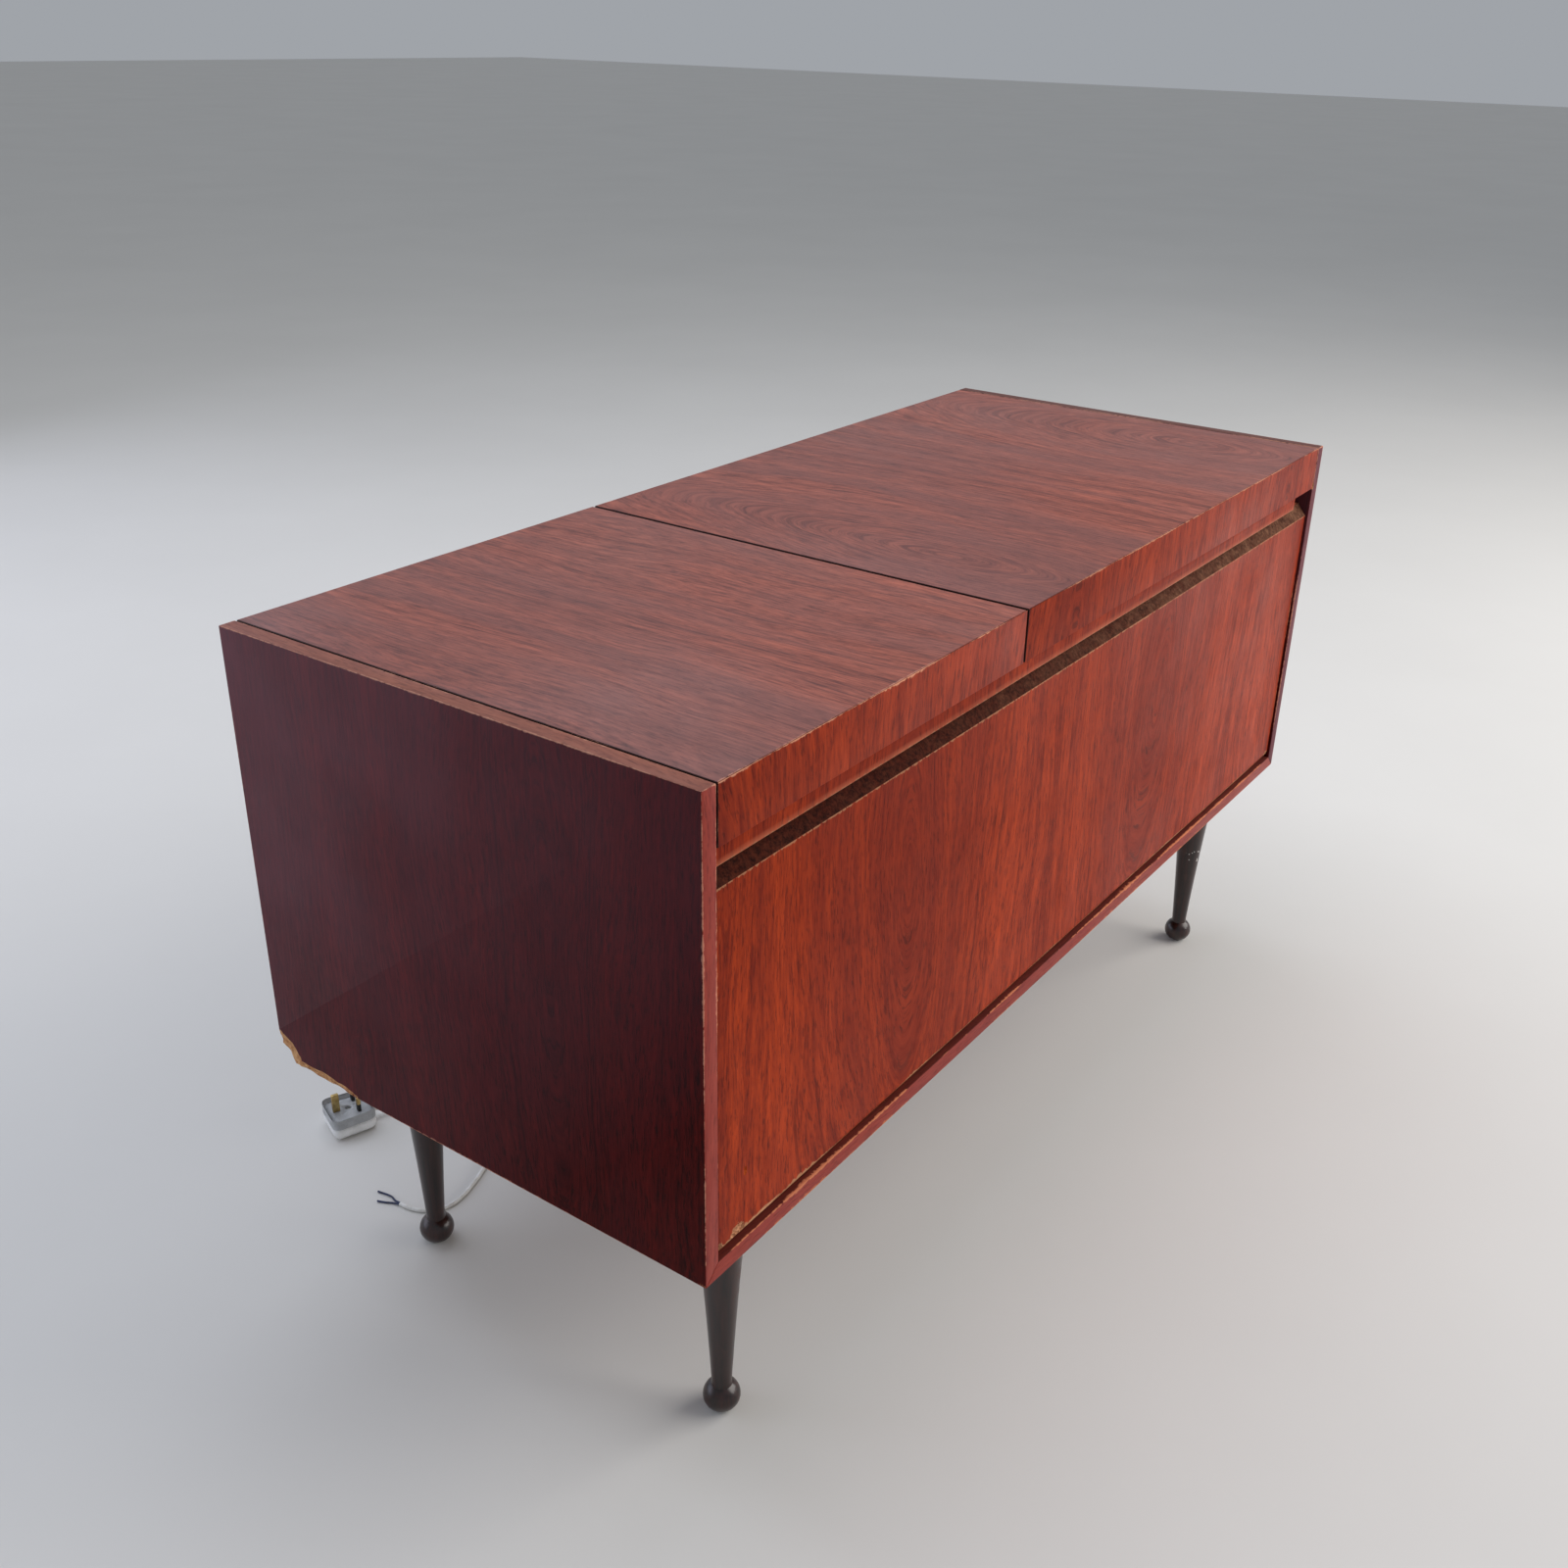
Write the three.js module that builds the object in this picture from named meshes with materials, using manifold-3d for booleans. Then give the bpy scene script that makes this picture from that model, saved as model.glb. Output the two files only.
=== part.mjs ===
// A mid-century teak media cabinet on turned legs: a veneered case with two lift-up lids over a
// record-deck well and an equipment well, a full-width drop flap, and its two leads.
// Millimetres, +Z up, front of the cabinet towards -Y, origin on the floor under the case's centre.
import * as THREE from 'three';
import { mergeVertices } from 'three/addons/utils/BufferGeometryUtils.js';
import Module from 'manifold-3d';

const wasm = await Module();
wasm.setup();

// ---------------------------------------------------------------- driving dimensions
const CASE_WIDTH = 1220;
const CASE_DEPTH = 508;
const CASE_HEIGHT = 432;
const LEG_HEIGHT = 248; // floor to the underside of the case
const BOARD = 16; // veneered board of the case, lids and flap
const FIT = 0.3; // clearance between pieces that touch

const LID_DROP = 50; // height of a lid's front drop, over the lid's own thickness
const LEFT_LID_WIDTH = 437;
const LID_SIDE_GAP = 1.5; // lid to side panel
const LID_SEAM = 3; // between the two lids
const LID_OPEN_DEG = 75;

const FLAP_RECESS = 3; // flap's face behind the case's front edge
const FLAP_END_GAP = 2;
const FLAP_TOP_GAP = 1.3;
const FLAP_FOOT_GAP = 1.5;
const FLAP_LIP = 15; // strip over the finger groove
const GROOVE_HEIGHT = 18.5;
const GROOVE_DEPTH = 11;
const GROOVE_APEX_DROP = 4; // the groove's deepest line below the lip's lower edge
const LIP_BREAK = 50; // length of lip that is broken off at the right end
const FLAP_OPEN_DEG = 90;

const WELL_DEPTH = 112; // lid's underside to the deck board
const DECK_THICKNESS = 12;
const BACK_THICKNESS = 4;
const BACK_INSET = 4; // back panel's outer face in from the side panels' rear edges
const RAIL_THICKNESS = 16;
const REAR_RAIL_HEIGHT = 62;

const LEG_SIDE_INSET = 98;
const LEG_FRONT_INSET = 62;
const LEG_BACK_INSET = 75;
const LEG_TOP_RADIUS = 24;
const LEG_NECK_RADIUS = 9.3;
const LEG_NECK_HEIGHT = 33;
const BALL_RADIUS = 17.3;
const BALL_CENTRE = 14.8;
const LEG_PLATE_THICKNESS = 3;
const LEG_PLATE_RADIUS = 21;
const STUD_RADIUS = 4;
const STUD_LENGTH = 44;

const HINGE_LENGTH = 60;
const HINGE_LEAF = 1.2;
const HINGE_LEAF_REACH = 21; // hinge axis to a leaf's far edge
const KNUCKLE_RADIUS = 3;
const HINGE_PIN_RADIUS = 1.3;

const STAY_BAR_WIDTH = 10;
const STAY_BAR_THICKNESS = 3;
const STAY_STUD_RADIUS = 2;
const LID_STAY_REACH = 60; // hinge axis to either end pivot of a lid stay
const FLAP_STAY_REACH = 150;
const FLAP_PIVOT_RADIUS = 3;
const PIN_BORE_DEPTH = 8; // in each side panel
const PIN_FLAP_DEPTH = 12; // in each end of the flap

const STAY_OUTER_GAP = 4; // side panel to a stay's bar
const STAY_SPARE = 7; // bar past the guide when fully open
const STAY_SLIDE_GAP = 0.8; // loose fit of the bar in its guide
const GUIDE_LENGTH = 14;
const GUIDE_WALL = 2.5; // guide's edge past its slot, along the bar's width
const GUIDE_CHEEK = 2; // guide's thickness on each side of the bar
const SPIGOT_RADIUS = 4;
const BRACKET_HALF = 12;
const BRACKET_SHEET = 1.6;
const BRACKET_FOOT = 18; // bar to the far edge of a bracket's foot

const PLATTER_RADIUS = 140;
const PLATTER_HEIGHT = 14;
const PLATTER_LIFT = 12; // deck board to the platter's underside
const BEARING_RADIUS = 8;
const SPINDLE_RADIUS = 3.6;
const SPINDLE_HEIGHT = 20;
const MAT_THICKNESS = 3;
const ARM_LENGTH = 210; // pillar to the front of the pick-up
const ARM_WIDTH = 8;
const ARM_RISE = 16; // platter's face to the arm's middle
const HUB_RADIUS = 11;
const PILLAR_RADIUS = 9;
const PILLAR_FOOT_RADIUS = 20;
const PICKUP = { length: 34, width: 18, depth: 7 };
const WEIGHT = { front: 24, back: 42, half: 8, depth: 6 }; // the arm's balance weight

const LEAD_DIAMETER = 7;
const LEAD_STRAIGHT = 20; // straight run out of the gland, before the first bend
const LEAD_BEND = 31;
const COIL_MIDDLE_RADIUS = 38;
const FLEX_DIAMETER = 4;
const FLEX_STRAIGHT = 10;
const FLEX_BEND = 16;
const CORE_DIAMETER = 2;
const CORD_CLEARANCE = 0.4; // floor to the underside of a cord
const PLUG_SIZE = 50;
const PLUG_COVER_HEIGHT = 19;
const PLUG_BASE_HEIGHT = 6;
const PIN_PITCH = 22.2;
const LINE_PIN = { along: 4, across: 6.4, length: 17.7 };
const EARTH_PIN = { along: 8, across: 4, length: 22.7 };

// ---------------------------------------------------------------- places worked out from them
const SIDE_X = CASE_WIDTH / 2;
const INNER_X = SIDE_X - BOARD;
const FRONT_Y = -CASE_DEPTH / 2;
const REAR_Y = CASE_DEPTH / 2;
const BASE_Z = LEG_HEIGHT;
const TOP_Z = LEG_HEIGHT + CASE_HEIGHT;
const FLOOR_Z = BASE_Z + BOARD; // upper face of the bottom board
const LID_UNDER_Z = TOP_Z - BOARD;
const BACK_Y = REAR_Y - BACK_INSET - BACK_THICKNESS; // back panel's inner face
const INNER_REAR_Y = BACK_Y - FIT;
const SEAM_LEFT_X = -INNER_X + LID_SIDE_GAP + LEFT_LID_WIDTH;
const SEAM_RIGHT_X = SEAM_LEFT_X + LID_SEAM;
const SEAM_X = (SEAM_LEFT_X + SEAM_RIGHT_X) / 2;
const DECK_TOP_Z = LID_UNDER_Z - WELL_DEPTH;
const DROP_LOW_Z = TOP_Z - LID_DROP;
const FLAP_TOP_Z = DROP_LOW_Z - FLAP_TOP_GAP;
const FLAP_LOW_Z = FLOOR_Z + FLAP_FOOT_GAP;
const FLAP_FACE_Y = FRONT_Y + FLAP_RECESS;
const FLAP_BACK_Y = FLAP_FACE_Y + BOARD;
const FLAP_END_X = INNER_X - FLAP_END_GAP;
const FRONT_RAIL_Y = FLAP_BACK_Y + 3;
const FLAP_AXIS = { y: FLAP_FACE_Y + BOARD / 2, z: FLAP_LOW_Z + BOARD / 2 };
const LID_AXIS = { y: BACK_Y + 3.2 + FIT, z: LID_UNDER_Z - KNUCKLE_RADIUS - FIT - 0.1 };

// ---------------------------------------------------------------- finishes
const finish = (name, color, roughness, metalness = 0) => {
  const material = new THREE.MeshStandardMaterial({ color, roughness, metalness });
  material.name = name;
  return material;
};
const teakFront = finish('teak_front', 0x9a4a38, 0.42);
const teakTop = finish('teak_top', 0x845a50, 0.4);
const teakSide = finish('teak_side', 0x4a1f1c, 0.38);
const innerBoard = finish('inner_board', 0x8a6244, 0.7);
const hardboard = finish('hardboard', 0x5b4231, 0.85);
const legStain = finish('leg_stain', 0x241614, 0.35);
const brass = finish('brass', 0xb08d4a, 0.35, 1);
const steel = finish('steel', 0x8d8f92, 0.35, 1);
const whitePlastic = finish('white_plastic', 0xdedcd3, 0.45);
const bluePlastic = finish('blue_core', 0x1c2740, 0.5);
const blackPlastic = finish('black_plastic', 0x17171a, 0.5);
const rubber = finish('rubber_mat', 0x1d1c1b, 0.9);
const creamPaint = finish('cream_paint', 0xcfc6ae, 0.4);

const cabinet = new THREE.Group();

// ---------------------------------------------------------------- making solids
// Adds one named sub-part to the cabinet.
function addPart(name, geometry, material) {
  const mesh = new THREE.Mesh(geometry, material);
  mesh.name = name;
  cabinet.add(mesh);
  return mesh;
}

// A plain board between two corners.
function block(x0, x1, y0, y1, z0, z1) {
  const geometry = new THREE.BoxGeometry(x1 - x0, y1 - y0, z1 - z0);
  geometry.translate((x0 + x1) / 2, (y0 + y1) / 2, (z0 + z1) / 2);
  return geometry;
}

const toShape = (points) => new THREE.Shape(points.map(([u, v]) => new THREE.Vector2(u, v)));

// Turns local X, Y, Z to world Y, Z, X, for a section drawn in (y, z).
const SECTION_ALONG_X = new THREE.Matrix4().set(0, 0, 1, 0, 1, 0, 0, 0, 0, 1, 0, 0, 0, 0, 0, 1);

const ARC_STEPS = 8;

function extruded(shape, depth) {
  return new THREE.ExtrudeGeometry(shape, { depth, bevelEnabled: false, curveSegments: ARC_STEPS });
}

// A section drawn in (y, z), run from x0 to x1.
function alongX(shape, x0, x1) {
  return extruded(shape, x1 - x0).applyMatrix4(SECTION_ALONG_X).translate(x0, 0, 0);
}

// An outline drawn in (x, z), run from y0 to y1.
function alongY(shape, y0, y1) {
  return extruded(shape, y1 - y0).rotateX(Math.PI / 2).translate(0, y1, 0);
}

// An outline drawn in (x, y), run from z0 to z1.
function alongZ(shape, z0, z1) {
  return extruded(shape, z1 - z0).translate(0, 0, z0);
}

// A turned piece: [radius, height] points from the axis, round +Z.
function turned(points, sides) {
  const profile = points.map(([r, z]) => new THREE.Vector2(r, z));
  return new THREE.LatheGeometry(profile, sides).rotateX(Math.PI / 2);
}

// A round bar along X.
function rodAlongX(radius, x0, x1, y, z, sides = 16) {
  const geometry = new THREE.CylinderGeometry(radius, radius, x1 - x0, sides);
  return geometry.rotateZ(Math.PI / 2).translate((x0 + x1) / 2, y, z);
}

function toManifold(geometry) {
  const bare = geometry.clone();
  bare.deleteAttribute('normal');
  bare.deleteAttribute('uv');
  const merged = mergeVertices(bare, 1e-4);
  return new wasm.Manifold(new wasm.Mesh({
    numProp: 3,
    vertProperties: new Float32Array(merged.attributes.position.array),
    triVerts: new Uint32Array(merged.index.array),
  }));
}

function fromManifold(solid) {
  const mesh = solid.getMesh();
  const geometry = new THREE.BufferGeometry();
  geometry.setAttribute('position', new THREE.BufferAttribute(new Float32Array(mesh.vertProperties), 3));
  geometry.setIndex(new THREE.BufferAttribute(new Uint32Array(mesh.triVerts), 1));
  geometry.computeVertexNormals();
  return geometry;
}

// Joins overlapping solids into one.
function join(...geometries) {
  const [first, ...rest] = geometries.map(toManifold);
  return fromManifold(rest.reduce((whole, solid) => whole.add(solid), first));
}

// Cuts every later solid out of the first.
function cut(geometry, ...tools) {
  const [first, ...rest] = [geometry, ...tools].map(toManifold);
  return fromManifold(rest.reduce((whole, solid) => whole.subtract(solid), first));
}

// A tube of a given diameter along hand-set points.
function tube(points, diameter, sides, steps) {
  const path = new THREE.CatmullRomCurve3(points.map((p) => new THREE.Vector3(...p)), false, 'centripetal');
  const ring = [];
  for (let i = 0; i < sides; i += 1) {
    const angle = (2 * Math.PI * i) / sides;
    ring.push([(diameter / 2) * Math.cos(angle), (diameter / 2) * Math.sin(angle)]);
  }
  return new THREE.ExtrudeGeometry(toShape(ring), { steps, extrudePath: path, bevelEnabled: false });
}

// ---------------------------------------------------------------- case
// Side panels run the full height and depth, mitred to the bottom board at their feet. Each has a
// bore for the flap's pivot pin.
function makeSidePanel(name, side) {
  const outline = toShape([
    [side * SIDE_X, BASE_Z + FIT],
    [side * SIDE_X, TOP_Z],
    [side * INNER_X, TOP_Z],
    [side * INNER_X, FLOOR_Z + FIT],
  ]);
  const boreEnds = [side * (INNER_X - 1), side * (INNER_X + PIN_BORE_DEPTH)].sort((a, b) => a - b);
  const bore = rodAlongX(FLAP_PIVOT_RADIUS + FIT, ...boreEnds, FLAP_AXIS.y, FLAP_AXIS.z);
  addPart(name, cut(alongY(outline, FRONT_Y, REAR_Y), bore), teakSide);
}
makeSidePanel('side_panel_left', -1);
makeSidePanel('side_panel_right', 1);

function makeBottomBoard() {
  const outline = toShape([
    [-SIDE_X, BASE_Z],
    [SIDE_X, BASE_Z],
    [INNER_X, FLOOR_Z],
    [-INNER_X, FLOOR_Z],
  ]);
  addPart('bottom_board', alongY(outline, FRONT_Y, INNER_REAR_Y), teakFront);
}
makeBottomBoard();

// The divider stands under the lids' seam and carries the decks' inner ends. It stops behind the
// front rail and in front of the rear rail.
const DECK_LOW_Z = DECK_TOP_Z - DECK_THICKNESS;
const RAIL_LOW_Z = DECK_LOW_Z;
const FRONT_RAIL_BACK_Y = FRONT_RAIL_Y + RAIL_THICKNESS;
const REAR_RAIL_Y = INNER_REAR_Y - RAIL_THICKNESS;
const REAR_RAIL_TOP_Z = LID_UNDER_Z - HINGE_LEAF - 2 * FIT;
addPart(
  'centre_divider',
  block(
    SEAM_X - BOARD / 2, SEAM_X + BOARD / 2, FRONT_RAIL_BACK_Y + FIT, REAR_RAIL_Y - FIT,
    FLOOR_Z + FIT, LID_UNDER_Z - FIT,
  ),
  innerBoard,
);
addPart(
  'front_rail',
  block(
    -INNER_X + FIT, INNER_X - FIT, FRONT_RAIL_Y, FRONT_RAIL_BACK_Y,
    RAIL_LOW_Z, LID_UNDER_Z - FIT,
  ),
  teakFront,
);
addPart(
  'rear_rail',
  block(
    -INNER_X + FIT, INNER_X - FIT, REAR_RAIL_Y, INNER_REAR_Y,
    REAR_RAIL_TOP_Z - REAR_RAIL_HEIGHT, REAR_RAIL_TOP_Z,
  ),
  innerBoard,
);

const LEFT_WELL = [-INNER_X + FIT, SEAM_X - BOARD / 2 - FIT];
const RIGHT_WELL = [SEAM_X + BOARD / 2 + FIT, INNER_X - FIT];
const DECK_FRONT_Y = FRONT_RAIL_BACK_Y + FIT;
for (const [side, well] of [['left', LEFT_WELL], ['right', RIGHT_WELL]]) {
  const board = block(...well, DECK_FRONT_Y, INNER_REAR_Y, DECK_LOW_Z, DECK_TOP_Z);
  addPart(`deck_board_${side}`, board, innerBoard);
}

// ---------------------------------------------------------------- back panel
// Hardboard, let in between the sides, with two banks of vent slots and a hole for each lead.
const MAINS_EXIT = { x: -300, z: BASE_Z + 52 };
const FLEX_EXIT = { x: -345, z: BASE_Z + 52 };
const GLAND_RADIUS = 8;
const SLOT_WIDTH = 90;
const SLOT_HEIGHT = 8;
const SLOT_PITCH = 22;
const SLOTS_PER_BANK = 5;
const SLOT_BANKS_X = [-375, 215];
const SLOT_LOWEST_Z = BASE_Z + 182;

function roundHole(x, z, radius, sides = 20) {
  const hole = new THREE.Path();
  hole.absarc(x, z, radius, 0, 2 * Math.PI, true);
  return new THREE.Path(hole.getPoints(sides));
}

function slotHole(x, z) {
  const end = SLOT_HEIGHT / 2;
  const reach = SLOT_WIDTH / 2 - end;
  const hole = new THREE.Path();
  hole.absarc(x + reach, z, end, -Math.PI / 2, Math.PI / 2, false);
  hole.absarc(x - reach, z, end, Math.PI / 2, (3 * Math.PI) / 2, false);
  return new THREE.Path(hole.getPoints(4));
}

function makeBackPanel() {
  const outline = toShape([
    [-INNER_X + FIT, BASE_Z + 1],
    [INNER_X - FIT, BASE_Z + 1],
    [INNER_X - FIT, LID_AXIS.z - HINGE_LEAF_REACH - 1],
    [-INNER_X + FIT, LID_AXIS.z - HINGE_LEAF_REACH - 1],
  ]);
  outline.holes.push(roundHole(MAINS_EXIT.x, MAINS_EXIT.z, GLAND_RADIUS));
  outline.holes.push(roundHole(FLEX_EXIT.x, FLEX_EXIT.z, GLAND_RADIUS));
  for (const x of SLOT_BANKS_X) {
    for (let i = 0; i < SLOTS_PER_BANK; i += 1) {
      outline.holes.push(slotHole(x, SLOT_LOWEST_Z + i * SLOT_PITCH));
    }
  }
  addPart('back_panel', alongY(outline, BACK_Y, BACK_Y + BACK_THICKNESS), hardboard);
}
makeBackPanel();

// A rubber gland snaps into each hole: a flanged ring round the lead.
function makeGland(name, exit, bore) {
  const neck = GLAND_RADIUS - FIT;
  const flange = GLAND_RADIUS + 3;
  const lip = 2.5;
  const geometry = turned(
    [
      [bore, -lip],
      [flange - 1, -lip],
      [flange - 1, -FIT],
      [neck, -FIT],
      [neck, BACK_THICKNESS + FIT],
      [flange, BACK_THICKNESS + FIT],
      [flange - 2, BACK_THICKNESS + lip],
      [bore, BACK_THICKNESS + lip],
      [bore, -lip],
    ],
    20,
  );
  geometry.rotateX(-Math.PI / 2).translate(exit.x, BACK_Y, exit.z);
  addPart(name, geometry, rubber);
}
makeGland('mains_gland', MAINS_EXIT, LEAD_DIAMETER / 2 + FIT);
makeGland('flex_gland', FLEX_EXIT, FLEX_DIAMETER / 2 + FIT);

// ---------------------------------------------------------------- lids
// Each lid is a top board with a mitred front drop, hung on two butt hinges at the rear rail.
function makeLid(side, x0, x1) {
  const mitre = FIT * Math.SQRT2;
  const top = toShape([
    [FRONT_Y + mitre, TOP_Z],
    [FRONT_Y + BOARD + mitre, LID_UNDER_Z],
    [REAR_Y, LID_UNDER_Z],
    [REAR_Y, TOP_Z],
  ]);
  const drop = toShape([
    [FRONT_Y, TOP_Z],
    [FRONT_Y, DROP_LOW_Z],
    [FRONT_Y + BOARD, DROP_LOW_Z],
    [FRONT_Y + BOARD, LID_UNDER_Z],
  ]);
  addPart(`lid_${side}`, alongX(top, x0, x1), teakTop);
  addPart(`lid_${side}_drop`, alongX(drop, x0, x1), teakFront);
}
const LID_SPANS = {
  left: [-INNER_X + LID_SIDE_GAP, SEAM_LEFT_X],
  right: [SEAM_RIGHT_X, INNER_X - LID_SIDE_GAP],
};
makeLid('left', ...LID_SPANS.left);
makeLid('right', ...LID_SPANS.right);

// A butt hinge of three knuckles. The rail's leaf has the two outer knuckles and holds the pin, and
// the lid's leaf turns on it with the middle one.
function knuckle(x0, x1) {
  return cut(
    rodAlongX(KNUCKLE_RADIUS, x0, x1, LID_AXIS.y, LID_AXIS.z),
    rodAlongX(HINGE_PIN_RADIUS + FIT, x0 - 1, x1 + 1, LID_AXIS.y, LID_AXIS.z, 12),
  );
}

function makeHinge(name, middleX) {
  const third = HINGE_LENGTH / 3;
  const start = middleX - HINGE_LENGTH / 2;
  const railLeafY = INNER_REAR_Y + FIT;
  const outer = (x0) => rodAlongX(KNUCKLE_RADIUS, x0, x0 + third - FIT, LID_AXIS.y, LID_AXIS.z);
  const railLeaf = block(
    start, start + HINGE_LENGTH, railLeafY, railLeafY + HINGE_LEAF,
    LID_AXIS.z - HINGE_LEAF_REACH, LID_AXIS.z - KNUCKLE_RADIUS - 0.6,
  );
  const tab = (x0) => block(
    x0, x0 + third - FIT, railLeafY, railLeafY + HINGE_LEAF,
    LID_AXIS.z - KNUCKLE_RADIUS - 1, LID_AXIS.z,
  );
  const pin = rodAlongX(HINGE_PIN_RADIUS, start, start + HINGE_LENGTH, LID_AXIS.y, LID_AXIS.z, 12);
  const lastThird = start + 2 * third + FIT;
  const fixed = join(railLeaf, tab(start), tab(lastThird), outer(start), outer(lastThird), pin);
  addPart(`${name}_rail_leaf`, fixed, brass);

  const leafTop = LID_UNDER_Z - FIT;
  const lidLeaf = block(
    start, start + HINGE_LENGTH, LID_AXIS.y - HINGE_LEAF_REACH, LID_AXIS.y - KNUCKLE_RADIUS - 0.6,
    leafTop - HINGE_LEAF, leafTop,
  );
  const lidTab = block(
    start + third + FIT, start + 2 * third - FIT, LID_AXIS.y - KNUCKLE_RADIUS - 1, LID_AXIS.y,
    leafTop - HINGE_LEAF, leafTop,
  );
  const middle = knuckle(start + third + FIT, start + 2 * third - FIT);
  const tabBored = cut(
    lidTab,
    rodAlongX(HINGE_PIN_RADIUS + FIT, start, start + HINGE_LENGTH, LID_AXIS.y, LID_AXIS.z, 12),
  );
  addPart(`${name}_lid_leaf`, join(lidLeaf, tabBored, middle), brass);
}
const HINGE_END_INSET = 80; // lid's end to the middle of its hinge
for (const [side, [x0, x1]] of Object.entries(LID_SPANS)) {
  makeHinge(`lid_${side}_hinge_a`, x0 + HINGE_END_INSET);
  makeHinge(`lid_${side}_hinge_b`, x1 - HINGE_END_INSET);
}

// ---------------------------------------------------------------- flap
// One board that turns on two end pins near its foot. Its foot is rounded about the pins, and a
// V groove under the top edge is the finger pull. The lip over the groove is broken off at the right.
const GROOVE_TOP_Z = FLAP_TOP_Z - FLAP_LIP;
const GROOVE_LOW_Z = GROOVE_TOP_Z - GROOVE_HEIGHT;
const GROOVE_APEX_Z = GROOVE_TOP_Z - GROOVE_APEX_DROP;

function makeFlap() {
  const section = new THREE.Shape();
  section.moveTo(FLAP_FACE_Y, FLAP_AXIS.z);
  section.absarc(FLAP_AXIS.y, FLAP_AXIS.z, BOARD / 2, Math.PI, 2 * Math.PI, false);
  section.lineTo(FLAP_BACK_Y, FLAP_TOP_Z);
  section.lineTo(FLAP_FACE_Y, FLAP_TOP_Z);
  section.lineTo(FLAP_FACE_Y, GROOVE_TOP_Z);
  section.lineTo(FLAP_FACE_Y + GROOVE_DEPTH, GROOVE_APEX_Z);
  section.lineTo(FLAP_FACE_Y, GROOVE_LOW_Z);
  section.closePath();
  const board = alongX(section, -FLAP_END_X, FLAP_END_X);
  const brokenLip = block(
    FLAP_END_X - LIP_BREAK, FLAP_END_X + 1, FLAP_FACE_Y - 1, FLAP_BACK_Y + 1,
    GROOVE_APEX_Z, FLAP_TOP_Z + 1,
  );
  const bores = [-1, 1].map((side) => {
    const ends = [side * (FLAP_END_X - PIN_FLAP_DEPTH), side * (FLAP_END_X + 1)].sort((a, b) => a - b);
    return rodAlongX(FLAP_PIVOT_RADIUS + FIT, ...ends, FLAP_AXIS.y, FLAP_AXIS.z);
  });
  addPart('front_flap', cut(board, brokenLip, ...bores), teakFront);
}
makeFlap();

// The steel pins that the flap turns on, each driven into a side panel.
for (const [side, sign] of [['left', -1], ['right', 1]]) {
  const depths = [INNER_X + PIN_BORE_DEPTH - FIT, FLAP_END_X - PIN_FLAP_DEPTH + FIT];
  const ends = depths.map((x) => sign * x).sort((a, b) => a - b);
  addPart(`flap_pivot_pin_${side}`, rodAlongX(FLAP_PIVOT_RADIUS, ...ends, FLAP_AXIS.y, FLAP_AXIS.z), steel);
}

// A magnet catch under the front rail holds the flap shut by a steel strike plate on its back.
const CATCH = { width: 40, depth: 21, height: 18, strike: 1.2 };
const CATCH_TOP_Z = RAIL_LOW_Z - FIT;
const STRIKE_BACK_Y = FLAP_BACK_Y + FIT + CATCH.strike;
addPart(
  'flap_strike',
  block(
    -CATCH.width / 2 + 3, CATCH.width / 2 - 3, FLAP_BACK_Y + FIT, STRIKE_BACK_Y,
    CATCH_TOP_Z - CATCH.height, CATCH_TOP_Z - 1,
  ),
  steel,
);
addPart(
  'flap_catch',
  block(
    -CATCH.width / 2, CATCH.width / 2, STRIKE_BACK_Y + FIT, STRIKE_BACK_Y + FIT + CATCH.depth,
    CATCH_TOP_Z - CATCH.height, CATCH_TOP_Z,
  ),
  whitePlastic,
);

// ---------------------------------------------------------------- stays
// A sliding stay: a flat bar pivots on a bracket on the lid or flap and slides through a swivel
// guide on the side panel. Both pivots are the same distance from the hinge axis, so the guide
// always turns half as far as the lid or flap does.
// Places of a stay's two pivots in the (y, z) plane. Angles are from the hinge axis, as shut.
function stayPlan(axis, reach, armAngle, spread, openDeg) {
  const at = (angle) => ({ y: axis.y + reach * Math.cos(angle), z: axis.z + reach * Math.sin(angle) });
  const arm = at(armAngle);
  const guide = at(armAngle + spread);
  const openSpread = Math.abs(spread) + THREE.MathUtils.degToRad(openDeg);
  const length = 2 * reach * Math.sin(openSpread / 2) + STAY_SPARE;
  const angle = Math.atan2(guide.z - arm.z, guide.y - arm.y);
  return { arm, guide, length, angle };
}

// Puts a shape drawn with +Y along the bar and its origin at a pivot into its place.
function laidInPlane(shape, x0, x1, pivot, angle) {
  const geometry = alongX(shape, x0, x1);
  return geometry.rotateX(angle).translate(0, pivot.y, pivot.z);
}

function barShape(length) {
  const half = STAY_BAR_WIDTH / 2;
  const shape = new THREE.Shape();
  shape.absarc(0, 0, half, Math.PI / 2, (3 * Math.PI) / 2, false);
  shape.lineTo(length, -half);
  shape.lineTo(length, half);
  shape.closePath();
  shape.holes.push(roundHole(0, 0, STAY_STUD_RADIUS + FIT, 12));
  return shape;
}

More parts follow.
